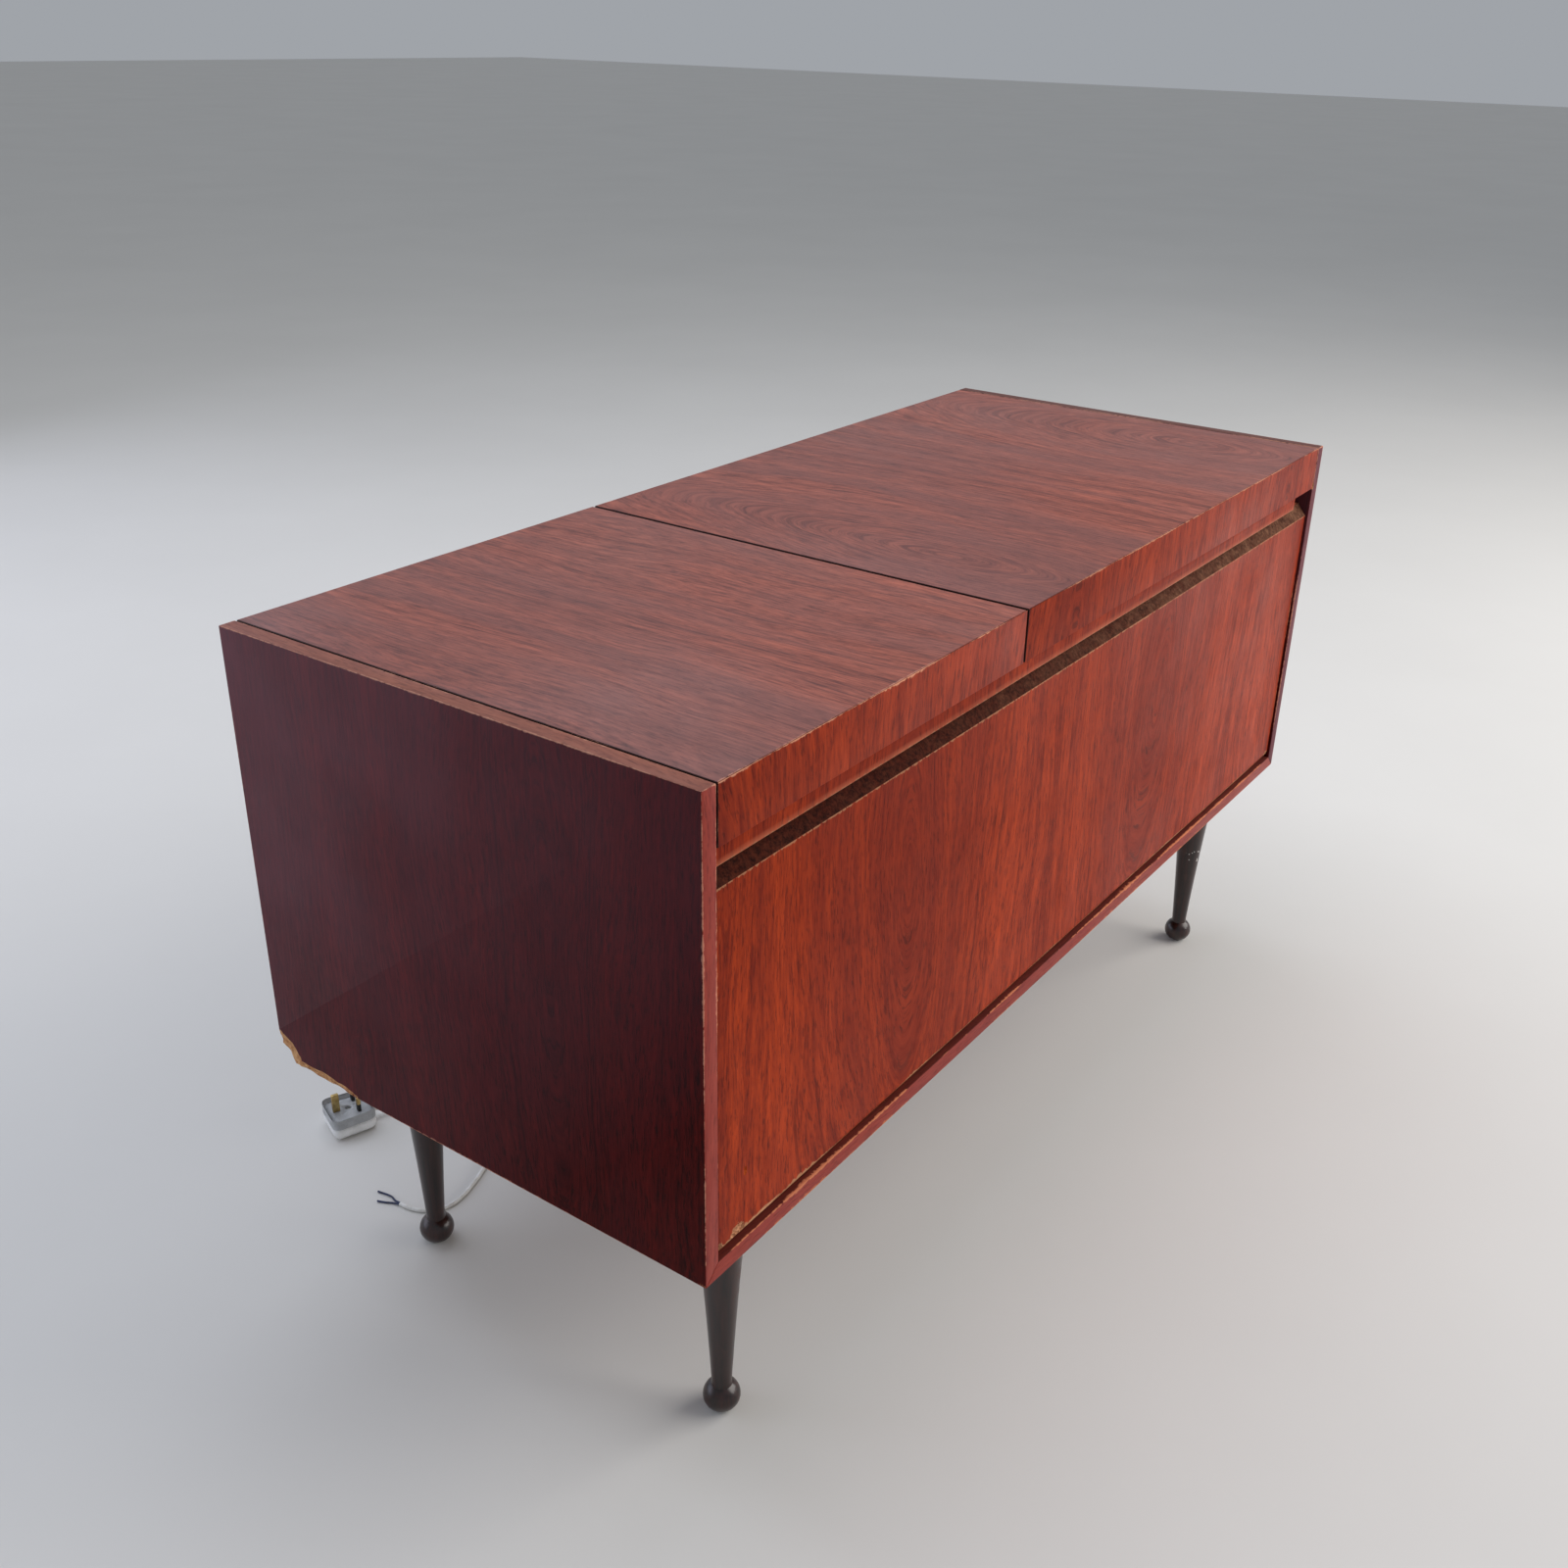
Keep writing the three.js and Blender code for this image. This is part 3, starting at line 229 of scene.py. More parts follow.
def white_pvc(name, old, fresh):
    """Aged white PVC with a soft gloss and a little grime."""
    material, tree, surface = shader(name)
    darkening = blotches(tree, 70.0, 6.0, 0.65, 0.36, 0.66)
    set_finish(
        surface,
        Base_Color=mix(tree, darkening, fresh, old),
        Roughness=span(tree, darkening, 0.0, 1.0, 0.26, 0.42),
    )
    bump(tree, surface, noise(tree, own_coords(tree), 420.0, 2.0), 0.06, 0.4)
    return material


HANDLE_SHARE = 0.336  # of the way to the next point, which keeps round bends round


def smooth_cord(name, points, diameter, material):
    """A round cord along given points."""
    data = bpy.data.curves.new(name, "CURVE")
    data.dimensions = "3D"
    data.resolution_u = 6
    data.bevel_depth = diameter / 2
    data.bevel_resolution = 5
    data.use_fill_caps = True
    line = data.splines.new("BEZIER")
    line.bezier_points.add(len(points) - 1)
    befores = [points[0], *points[:-1]]
    afters = [*points[1:], points[-1]]
    for knot, before, point, after in zip(line.bezier_points, befores, points, afters):
        heading = (after - before).normalized()
        knot.co = point
        knot.handle_left_type = knot.handle_right_type = "FREE"
        knot.handle_left = point - heading * (point - before).length * HANDLE_SHARE
        knot.handle_right = point + heading * (after - point).length * HANDLE_SHARE
    cord = bpy.data.objects.new(name, data)
    bpy.context.scene.collection.objects.link(cord)
    cord.data.materials.append(material)
    return cord


def coil_points():
    """Four and a half turns, laid in pairs on each other, that end outside the bottom turn.
    Each row is the turn's angle in degrees, its radius and its height there."""
    outer, inner = COIL_RADIUS, COIL_RADIUS - LEAD_PITCH
    layer = [LEAD_Z + LEAD_PITCH * level for level in range(3)]
    marks = [
        (0, BESIDE_COIL, layer[0]),
        (100, outer, layer[0]),
        (360, outer, layer[0]),
        (460, inner, layer[0]),
        (660, inner, layer[0]),
        (740, inner, layer[1]),
        (940, inner, layer[1]),
        (1040, outer, layer[1]),
        (1260, outer, layer[1]),
        (1340, outer, layer[2]),
        (1420, outer, layer[2]),
        (1520, BESIDE_COIL, layer[2]),
        (1620, BESIDE_COIL, layer[0]),
    ]
    points = []
    for (start, radius_a, z_a), (stop, radius_b, z_b) in zip(marks, marks[1:]):
        for angle in range(start, stop, 20):
            share = (angle - start) / (stop - start)
            ease = share * share * (3 - 2 * share)
            radius = radius_a + (radius_b - radius_a) * ease
            z = z_a + (z_b - z_a) * ease
            swing = math.radians(angle - 90)
            points.append(
                Vector((
                    COIL_MIDDLE.x + radius * math.cos(swing),
                    COIL_MIDDLE.y + radius * math.sin(swing),
                    z,
                ))
            )
    return points


def metres(*places):
    return [Vector(place) * MM for place in places]


def quarter_turn(centre, from_reach, to_reach):
    """Points of a quarter turn about a centre, in millimetres, between two reaches from it."""
    points = []
    for i in range(5):
        angle = math.pi / 2 * i / 4
        points.append([
            at + a * math.cos(angle) + b * math.sin(angle)
            for at, a, b in zip(centre, from_reach, to_reach)
        ])
    return points


x, y, z = lead_exit / MM
bend_y = y - FIT / MM + LEAD_STRAIGHT
drop_y = bend_y + LEAD_BEND
floor_z = LEAD_Z / MM
lead_points = metres(
    (x, y, z),
    *quarter_turn((x, bend_y, z - LEAD_BEND), (0, 0, LEAD_BEND), (0, LEAD_BEND, 0)),
    (x, drop_y, 180),
    (x, drop_y, 100),
    *quarter_turn((x + LEAD_BEND, drop_y, floor_z + LEAD_BEND), (-LEAD_BEND, 0, 0), (0, 0, -LEAD_BEND)),
)
lead_points += coil_points()
lead_points += metres(
    (COIL_MIDDLE.x / MM, (COIL_MIDDLE.y + BESIDE_COIL) / MM, floor_z),
    (-243, 400.2, floor_z),
    (-266, 393, floor_z),
    (-298, 377, floor_z),
    (-314.8, 366.6, floor_z),
    (-333.6, 360.9, floor_z),
    (-353.4, 360.6, floor_z),
)
lead_points += [
    plug_point(76, LEAD_Z),
    plug_point(66, LEAD_Z + 1.1 * MM),
    plug_point(56, (LEAVES_PLUG_Z + LEAD_Z) / 2),
    plug_point(46, LEAVES_PLUG_Z - 1.1 * MM),
    plug_point(36, LEAVES_PLUG_Z),
    plug_point(25.3, LEAVES_PLUG_Z),
]
lead_pvc = white_pvc("lead_pvc", tone(196, 192, 180), tone(226, 224, 217))
mains_lead = smooth_cord("mains_lead", lead_points, LEAD, lead_pvc)
install(mains_lead, "case", "white_cord", "mains_lead_drop", "mains_coil", "mains_lead_tail")

# ---------------------------------------------------------------- thin flex
# A white two-core flex, 4 mm thick, comes out of its own gland and runs under the case to behind
# the back left leg. Its sheath is cut there, and two dark blue cores splay out, bare at their ends.
FLEX = 4 * MM
CORE = 2 * MM
FLEX_STRAIGHT = 10  # millimetres out of the gland, before the first bend
FLEX_BEND = 16
flex_exit = cord_exit("flex_gland")
x, y, z = flex_exit / MM
flex_floor = FLEX / 2 / MM + ABOVE_FLOOR
core_floor = CORE / 2 / MM + ABOVE_FLOOR
bend_y = y - FIT / MM + FLEX_STRAIGHT
flex_y = bend_y + FLEX_BEND
flex_points = metres(
    (x, y, z),
    *quarter_turn((x, bend_y, z - FLEX_BEND), (0, 0, FLEX_BEND), (0, FLEX_BEND, 0)),
    (x, flex_y, 190),
    (x, flex_y, 90),
    *quarter_turn((x, flex_y - FLEX_BEND, flex_floor + FLEX_BEND), (0, FLEX_BEND, 0), (0, 0, -FLEX_BEND)),
    (x - 4, 250, flex_floor),
    (x - 14, 240.5, flex_floor),
    (x - 36, 229.5, flex_floor),
    (-406, 219, flex_floor),
    (-430, 210, flex_floor),
    (-455, 203.5, flex_floor),
    (-475, 204, flex_floor),
    (-491, 214, flex_floor),
    (-500, 231, flex_floor),
    (-502, 247, flex_floor),
)
flex_pvc = white_pvc("flex_pvc", tone(206, 203, 196), tone(238, 238, 236))
thin_flex = smooth_cord("thin_white_flex", flex_points, FLEX, flex_pvc)
install(thin_flex, "case", "white_cord", "thin_flex")

core_pvc, tree, surface = shader("dark_blue_core")
scuff = blotches(tree, 300.0, 4.0, 0.5, 0.35, 0.7)
set_finish(
    surface,
    Base_Color=mix(tree, scuff, tone(22, 30, 66), tone(44, 56, 96)),
    Roughness=span(tree, scuff, 0.0, 1.0, 0.3, 0.5),
)
CORE_ROUTES = {
    "a": [(-500.9, 247.5, core_floor + 1), (-501, 255, core_floor), (-499, 265, core_floor),
          (-502, 281.8, core_floor)],
    "b": [(-503.1, 247.5, core_floor + 1), (-505, 255, core_floor), (-509, 262, core_floor),
          (-512.7, 270.6, core_floor)],
}
for letter, route in CORE_ROUTES.items():
    core = smooth_cord(f"flex_blue_core_{letter}", metres(*route), CORE, core_pvc)
    install(core, "case", "blue_core", f"flex_core_{letter}")


def line_length(cord):
    """The length of a cord's own middle line."""
    bare = cord.copy()
    bare.data = cord.data.copy()
    bare.data.bevel_depth = 0
    bpy.context.scene.collection.objects.link(bare)
    bpy.context.view_layer.update()
    mesh = bare.evaluated_get(bpy.context.evaluated_depsgraph_get()).to_mesh()
    places = [vertex.co.copy() for vertex in mesh.vertices]
    bpy.data.objects.remove(bare)
    return sum((b - a).length for a, b in zip(places, places[1:]))


# ---------------------------------------------------------------- side panels
# Blockboard panels, 16 mm thick, faced with teak whose grain stands upright and lipped along the
# edges that show. Each is mitred to the bottom board. The left one's back corner has broken away.


def board(name, low, high):
    """A square board between two corners."""
    low, high = Vector(low), Vector(high)
    bpy.ops.object.select_all(action="DESELECT")
    bpy.ops.mesh.primitive_cube_add(size=1, location=(low + high) / 2, scale=high - low)
    piece = bpy.context.object
    piece.name = name
    bpy.ops.object.transform_apply(location=True, rotation=True, scale=True)
    return piece


def shear_off(piece, place, normal):
    """Saws a piece along a plane, and throws away the side that the normal points to."""
    bpy.context.view_layer.objects.active = piece
    bpy.ops.object.mode_set(mode="EDIT")
    bpy.ops.mesh.select_all(action="SELECT")
    bpy.ops.mesh.bisect(plane_co=place, plane_no=normal, use_fill=True, clear_outer=True)
    bpy.ops.object.mode_set(mode="OBJECT")


def finish(piece, modifier_type, **settings):
    """Puts one modifier on a piece and applies it."""
    bpy.ops.object.select_all(action="DESELECT")
    bpy.context.view_layer.objects.active = piece
    piece.select_set(True)
    modifier = piece.modifiers.new("finish", modifier_type)
    for key, value in settings.items():
        setattr(modifier, key, value)
    bpy.ops.object.modifier_apply(modifier=modifier.name)


def soften(piece, width, segments=3):
    """Rounds every arris by a width in millimetres and smooths the shading over it."""
    finish(piece, "BEVEL", width=width * MM, segments=segments, limit_method="ANGLE", angle_limit=0.5)
    bpy.ops.object.shade_smooth_by_angle(angle=math.radians(35))


def lump(name, place, radii, raggedness, seed, material):
    """A ragged lump, for breaking wood away with. Its radii and raggedness are in millimetres."""
    bpy.ops.object.select_all(action="DESELECT")
    bpy.ops.mesh.primitive_ico_sphere_add(subdivisions=4, radius=1, location=place)
    piece = bpy.context.object
    piece.name = name
    piece.scale = [radius * MM for radius in radii]
    bpy.ops.object.transform_apply(location=True, rotation=True, scale=True)
    bpy.ops.object.mode_set(mode="EDIT")
    bpy.ops.mesh.select_all(action="SELECT")
    bpy.ops.transform.vertex_random(offset=raggedness * MM, normal=1.0, seed=seed)
    bpy.ops.object.mode_set(mode="OBJECT")
    give(piece, material)
    return piece


def break_away(piece, *lumps):
    """Breaks lumps out of a piece. What is bared takes the lump's material."""
    for gone in lumps:
        finish(piece, "BOOLEAN", operation="DIFFERENCE", object=gone, solver="EXACT",
               material_mode="TRANSFER", use_self=True)
        bpy.data.objects.remove(gone)


def calc(tree, operation, *values):
    made = tree.nodes.new("ShaderNodeMath")
    made.operation = operation
    for socket, value in zip(made.inputs, values):
        feed(tree, socket, value)
    return made.outputs[0]


def vector_calc(tree, operation, *values):
    made = tree.nodes.new("ShaderNodeVectorMath")
    made.operation = operation
    for socket, value in zip(made.inputs, values):
        feed(tree, socket, value)
    return made.outputs[0]


def axes(tree, vector):
    """A vector's three parts."""
    made = tree.nodes.new("ShaderNodeSeparateXYZ")
    feed(tree, made.inputs[0], vector)
    return made.outputs


def joined(tree, *parts):
    """A vector of three parts."""
    made = tree.nodes.new("ShaderNodeCombineXYZ")
    for socket, part in zip(made.inputs, parts):
        feed(tree, socket, part)
    return made.outputs[0]


def streaks(tree, vector, scales, detail, roughness):
    """Noise stretched by different scales along the three axes."""
    return noise(tree, vector_calc(tree, "MULTIPLY", vector, scales), 1.0, detail, roughness)


def ring_noise(tree, distance, detail, roughness):
    """Noise along a single distance, as in growth rings."""
    made = tree.nodes.new("ShaderNodeTexNoise")
    made.noise_dimensions = "1D"
    feed(tree, made.inputs["W"], distance)
    made.inputs["Scale"].default_value = 1.0
    made.inputs["Detail"].default_value = detail
    made.inputs["Roughness"].default_value = roughness
    return made.outputs["Fac"]


def new_group(name, inputs, outputs):
    """An empty node group. Inputs are (label, kind, value), outputs are (label, kind)."""
    group = bpy.data.node_groups.new(name, "ShaderNodeTree")
    for label, kind, value in inputs:
        socket = group.interface.new_socket(label, in_out="INPUT", socket_type="NodeSocket" + kind)
        socket.default_value = value
    for label, kind in outputs:
        group.interface.new_socket(label, in_out="OUTPUT", socket_type="NodeSocket" + kind)
    start = group.nodes.new("NodeGroupInput")
    end = group.nodes.new("NodeGroupOutput")
    return group, start.outputs, end.inputs


def use_group(tree, group, **values):
    made = tree.nodes.new("ShaderNodeGroup")
    made.node_tree = group
    for label, value in values.items():
        feed(tree, made.inputs[label.replace("_", " ")], value)
    return made.outputs


def make_teak_figure():
    """Sliced teak veneer. Its vector holds across the grain, into the sheet and along the grain.
    The growth rings are nested arches about each leaf's middle and run straight away from it."""
    group, given, out = new_group(
        "teak figure",
        [
            ("Vector", "Vector", (0, 0, 0)),
            ("Light", "Color", (0.3, 0.1, 0.06, 1)),
            ("Dark", "Color", (0.1, 0.03, 0.02, 1)),
            ("Tint", "Color", (0.2, 0.06, 0.08, 1)),
            ("Tint Share", "Float", 0.5),
            ("Leaf", "Float", 0.3),
            ("Shift", "Float", 0.0),
            ("Apex", "Float", 0.4),
            ("Slope", "Float", 0.1),
            ("Contrast", "Float", 1.0),
            ("Flecks", "Float", 0.5),
        ],
        [("Color", "Color"), ("Roughness", "Float"), ("Height", "Float")],
    )
    vector = given["Vector"]
    parts = axes(group, vector)
    drift = span(group, streaks(group, vector, (3.4, 3.4, 1.3), 3.0, 0.45), 0.0, 1.0, -0.075, 0.075)
    ripple = span(group, streaks(group, vector, (16.0, 16.0, 3.2), 3.0, 0.5), 0.0, 1.0, -0.006, 0.006)
    across = calc(group, "ADD", calc(group, "ADD", parts[0], given["Shift"]), drift)
    folded = calc(group, "PINGPONG", across, given["Leaf"])
    rise = calc(group, "MULTIPLY", calc(group, "SUBTRACT", parts[2], given["Apex"]), given["Slope"])
    squares = calc(group, "ADD", calc(group, "POWER", folded, 2.0), calc(group, "MULTIPLY", rise, rise))
    ring = calc(group, "ADD", calc(group, "SQRT", squares), ripple)

    bands = span(group, ring_noise(group, calc(group, "MULTIPLY", ring, 30.0), 4.0, 0.6), 0.32, 0.7)
    veins = ring_noise(group, calc(group, "MULTIPLY_ADD", ring, 150.0, 17.0), 3.0, 0.5)
    vein = span(group, veins, 0.6, 0.72)
    broken = span(group, streaks(group, vector, (14.0, 14.0, 4.0), 3.0, 0.6), 0.46, 0.62)

    followed = joined(group, ring, parts[1], parts[2])
    fibre = span(group, streaks(group, followed, (300.0, 300.0, 26.0), 5.0, 0.72), 0.34, 0.66)
    flecks = span(group, streaks(group, followed, (640.0, 640.0, 82.0), 2.0, 0.6), 0.55, 0.64)

    shade = calc(group, "ADD", calc(group, "MULTIPLY", bands, 0.34), calc(group, "MULTIPLY", fibre, 0.66))
    centred = calc(group, "MULTIPLY_ADD", calc(group, "SUBTRACT", shade, 0.5), given["Contrast"], 0.5)
    colour = mix(group, calc(group, "MAXIMUM", centred, 0.0), given["Light"], given["Dark"])
    patch = span(group, streaks(group, followed, (15.0, 15.0, 1.8), 4.0, 0.6), 0.38, 0.62)
    colour = mix(group, calc(group, "MULTIPLY", patch, given["Tint Share"]), colour, given["Tint"])
    deep = mix(group, 1.0, colour, (0.42, 0.34, 0.36, 1), "MULTIPLY")
    vein_share = calc(group, "MULTIPLY", calc(group, "MULTIPLY", vein, broken), 0.6)
    colour = mix(group, vein_share, colour, deep)
    colour = mix(group, calc(group, "MULTIPLY", flecks, given["Flecks"]), colour, deep)
    feed(group, out["Color"], colour)
    feed(group, out["Roughness"], span(group, shade, 0.0, 1.0, -0.05, 0.06))
    feed(group, out["Height"], calc(group, "SUBTRACT", calc(group, "MULTIPLY", fibre, 0.5), flecks))
    return group


def make_arris_wear():
    """How bare a board's arrises are, from the distance to its nearest arris, broken by noise."""
    group, given, out = new_group(
        "arris wear",
        [
            ("Vector", "Vector", (0, 0, 0)),
            ("Low", "Vector", (0, 0, 0)),
            ("High", "Vector", (1, 1, 1)),
            ("Width", "Float", 0.002),
        ],
        [("Mask", "Float")],
    )
    vector = given["Vector"]
    from_low = vector_calc(group, "ABSOLUTE", vector_calc(group, "SUBTRACT", vector, given["Low"]))
    from_high = vector_calc(group, "ABSOLUTE", vector_calc(group, "SUBTRACT", given["High"], vector))
    nearest = axes(group, vector_calc(group, "MINIMUM", from_low, from_high))
    a, b, c = nearest
    lesser, greater = calc(group, "MINIMUM", a, b), calc(group, "MAXIMUM", a, b)
    to_arris = calc(group, "MAXIMUM", lesser, calc(group, "MINIMUM", greater, c))
    broad = span(group, noise(group, vector, 9.0, 4.0, 0.6), 0.4, 0.62, 0.1, 1.35)
    fine = span(group, noise(group, vector, 190.0, 4.0, 0.7), 0.34, 0.68, 0.2, 1.7)
    reach = calc(group, "MULTIPLY", calc(group, "MULTIPLY", broad, fine), given["Width"])
    inside = calc(group, "SUBTRACT", reach, to_arris)
    bare = calc(group, "DIVIDE", inside, calc(group, "MULTIPLY", reach, 0.5))
    feed(group, out["Mask"], span(group, bare, 0.0, 1.0))
    return group


TEAK_FIGURE = make_teak_figure()
ARRIS_WEAR = make_arris_wear()


def grain_vector(tree, order):
    """The piece's own coordinates with the axes that run across, into and along the grain."""
    parts = axes(tree, own_coords(tree))
    return joined(tree, *(parts["XYZ".index(axis)] for axis in order))


def teak(name, order, colours, box, wear=1.6, bare=tone(176, 122, 104), gloss=0.4, shine=0.2,
         share=0.5, leaf=0.3, shift=0.0, apex=0.4, slope=0.1, contrast=1.0, flecks=0.5):
    """Teak veneer under a satin finish, worn through along the arrises of its box. The wear is in
    millimetres."""
    material, tree, surface = shader(name)
    light, dark, tint = colours
    figure = use_group(
        tree, TEAK_FIGURE, Vector=grain_vector(tree, order), Light=light, Dark=dark, Tint=tint,
        Tint_Share=share, Leaf=leaf, Shift=shift, Apex=apex, Slope=slope, Contrast=contrast,
        Flecks=flecks,
    )
    worn = use_group(tree, ARRIS_WEAR, Vector=own_coords(tree), Low=box[0], High=box[1], Width=wear * MM)
    set_finish(surface, Base_Color=mix(tree, worn["Mask"], figure["Color"], bare))
    smudge = blotches(tree, 6.0, 6.0, 0.62, 0.35, 0.68, -0.05, 0.09)
    rough = calc(tree, "ADD", calc(tree, "ADD", figure["Roughness"], smudge), gloss)
    set_finish(
        surface,
        Roughness=calc(tree, "MULTIPLY_ADD", worn["Mask"], 0.25, rough),
        Specular_IOR_Level=shine,
    )
    bump(tree, surface, figure["Height"], 0.22, 0.12)
    return material


def bare_wood(name, light, dark, scale=140.0):
    """Broken or unfinished wood, dull and fibrous."""
    material, tree, surface = shader(name)
    speck = span(tree, noise(tree, own_coords(tree), scale, 6.0, 0.7), 0.34, 0.66)
    set_finish(
        surface,
        Base_Color=mix(tree, speck, light, dark),
        Roughness=0.85,
        Specular_IOR_Level=0.12,
    )
    bump(tree, surface, speck, 0.5, 0.5)
    return material


BOARD = 16 * MM
# The side faces' teak is painted much darker than the front's, as painted shade on sides that face away
# from the window light.
SHADED_SIDE_TEAK = (tone(92, 18, 13), tone(46, 7, 6), tone(64, 14, 20))
LEFT_LIPPING = (tone(170, 70, 52), tone(116, 40, 34), tone(136, 62, 62))
RIGHT_LIPPING = (tone(128, 64, 68), tone(80, 36, 44), tone(104, 58, 70))
DULL_LIPPING = (tone(112, 66, 54), tone(78, 42, 36), tone(94, 58, 52))
TOP_LIPPING = (tone(158, 96, 74), tone(106, 56, 46), tone(132, 80, 72))
broken_core = bare_wood("broken_core", tone(226, 178, 128), tone(164, 108, 72))


def paint_faces(piece, material_index, test):
    """Gives the faces that pass a test another of the piece's materials."""
    for face in piece.data.polygons:
        if test(face.normal, face.center):
            face.material_index = material_index


def base_colour(material):
    """A material's tree, its shader's colour socket and what feeds it."""
    tree = material.node_tree
    socket = tree.nodes["Principled BSDF"].inputs["Base Color"]
    return tree, socket, socket.links[0].from_socket


def paint_wall_reflection(material, back_y, foot_z):
    """A painted mauve reflection of the pale walls on the old finish, strongest high up towards the back.
    """
    tree, colour, clean = base_colour(material)
    parts = axes(tree, own_coords(tree))
    forward = calc(tree, "SUBTRACT", back_y, parts[1])
    height = calc(tree, "SUBTRACT", parts[2], foot_z)
    lean = calc(tree, "SUBTRACT", height, calc(tree, "MULTIPLY", forward, 0.9))
    # Painted reflection: its share grows with height and towards the back, broken by blotches.
    reflection_share = span(tree, lean, -0.3, 0.42, 0.0, 0.5)
    reflection_share = calc(tree, "MULTIPLY", reflection_share, blotches(tree, 8.0, 5.0, 0.5, 0.3, 0.7, 0.75, 1.1))
    feed(tree, colour, mix(tree, reflection_share, clean, tone(136, 98, 108)))


def make_side(side, sign, lipping, top_lipping):
    low, high = node_box(f"side_panel_{side}")
    panel = board(f"{side}_side", low, high)
    inner_x = low.x if sign > 0 else high.x
    shear_off(panel, (inner_x, 0, low.z + BOARD), (-sign, 0, -1))
    soften(panel, 0.8)
    face = teak(f"{side}_side_teak", "YXZ", SHADED_SIDE_TEAK, (low, high), wear=1.1, gloss=0.48,
                shine=0.06, leaf=0.23, shift=0.11, apex=0.52, slope=0.08, contrast=1.5, flecks=0.9)
    # The side's upper back gets a painted mauve reflection of the walls.
    paint_wall_reflection(face, high.y, low.z)
    give(
        panel,
        face,
        teak(f"{side}_side_lipping", "XYZ", lipping, (low, high), wear=1.3,
             bare=tone(200, 132, 108), gloss=0.44, shine=0.14, leaf=0.5, contrast=0.9),
        teak(f"{side}_side_top_lipping", "XZY", top_lipping, (low, high), wear=1.2,
             bare=tone(182, 128, 106), gloss=0.48, shine=0.3, leaf=0.5, contrast=0.9),
    )
    paint_faces(panel, 1, lambda normal, centre: normal.y < -0.7)
    paint_faces(panel, 2, lambda normal, centre: normal.z > 0.7)
    return panel, low, high


left_side, low, high = make_side("left", -1, LEFT_LIPPING, TOP_LIPPING)
BROKEN_CORNER = Vector((low.x, high.y, low.z))


def break_corner(piece):
    """Breaks the case's back left corner out of a board, with a long splinter run forward of it."""
    break_away(
        piece,
        lump("corner_loss", BROKEN_CORNER + Vector((4, 5, -3)) * MM, (30, 17, 19), 0.7, 3, broken_core),
        lump("corner_flake", BROKEN_CORNER + Vector((-2, 3, 0)) * MM, (6, 33, 34), 1.0, 4, broken_core),
        lump("corner_run", BROKEN_CORNER + Vector((-1, -48, 0)) * MM, (3.6, 58, 9), 0.8, 8, broken_core),
    )


break_corner(left_side)
break_away(
    left_side,
    lump("front_nick", (low.x - 1 * MM, low.y + 3 * MM, low.z - 1 * MM), (3, 7, 3), 0.7, 5, broken_core),
)
install(left_side, "case", "teak_side", "side_panel_left")
right_side, low, high = make_side("right", 1, RIGHT_LIPPING, DULL_LIPPING)
break_away(
    right_side,
    lump("edge_nick", (low.x, low.y - 1.5 * MM, high.z - 47 * MM), (3.4, 3, 5), 0.6, 2, broken_core),
)
install(right_side, "case", "teak_side", "side_panel_right")

# ---------------------------------------------------------------- bottom board
# One full-width board under the case, mitred to both sides, with a lipped front edge that is
# scraped pale along its arrises.
FRONT_TEAK = (tone(190, 68, 24), tone(100, 24, 10), tone(110, 34, 24))
low, high = node_box("bottom_board")
bottom = board("case_bottom", low, high)
shear_off(bottom, (low.x, 0, low.z), (-1, 0, 1))
shear_off(bottom, (high.x, 0, low.z), (1, 0, 1))
soften(bottom, 0.8)
give(
    bottom,
    teak("bottom_teak", "YZX", LEFT_LIPPING, (low, high), wear=2.2, bare=tone(196, 118, 84),
         gloss=0.46, leaf=0.5, contrast=0.9),
    bare_wood("bottom_underside", tone(120, 78, 58), tone(92, 58, 42), 60.0),
    teak("bottom_inside", "YZX", (tone(112, 46, 36), tone(72, 28, 22), tone(88, 36, 32)), (low, high),
         wear=2.2, bare=tone(196, 118, 86), gloss=0.6, shine=0.1),
)
paint_faces(bottom, 1, lambda normal, centre: normal.z < -0.7)
# Painted shade: the board's upper face inside the case takes the darker third teak, for the shade under the
# flap.
paint_faces(bottom, 2, lambda normal, centre: normal.z > 0.7)
break_corner(bottom)
install(bottom, "case", "teak_front", "bottom_board")

# ---------------------------------------------------------------- lids
# Two lift-up lids, veneered front to back with teak that carries on down their mitred front
# drops. The figure arches beside the seam, and the front arris is worn pale.
TOP_TEAK = (tone(172, 92, 72), tone(88, 38, 32), tone(116, 74, 70))
# The lids' and drops' end faces are painted dark, as painted shade in the gaps between the lids and beside
# the sides.
SEAM_SHADE = (tone(58, 26, 20), tone(36, 16, 13), tone(44, 20, 18))
INSIDE_VENEER = (tone(150, 78, 52), tone(104, 50, 34), tone(128, 68, 52))
ASIDE = Vector((1, 0, 0))  # sets a board's wear past its ends, which then stay whole
UNDER = Vector((0, 0, 1))  # the same for an upper or lower arris
LID_FIGURES = {
    "left": {"leaf": 0.36, "shift": 0.62, "apex": 0.3, "slope": 0.035},
    "right": {"leaf": 0.29, "shift": 0.07, "apex": -0.12, "slope": 0.26},
}
DROP_SLOPES = {"left": 0.14, "right": 0.05}
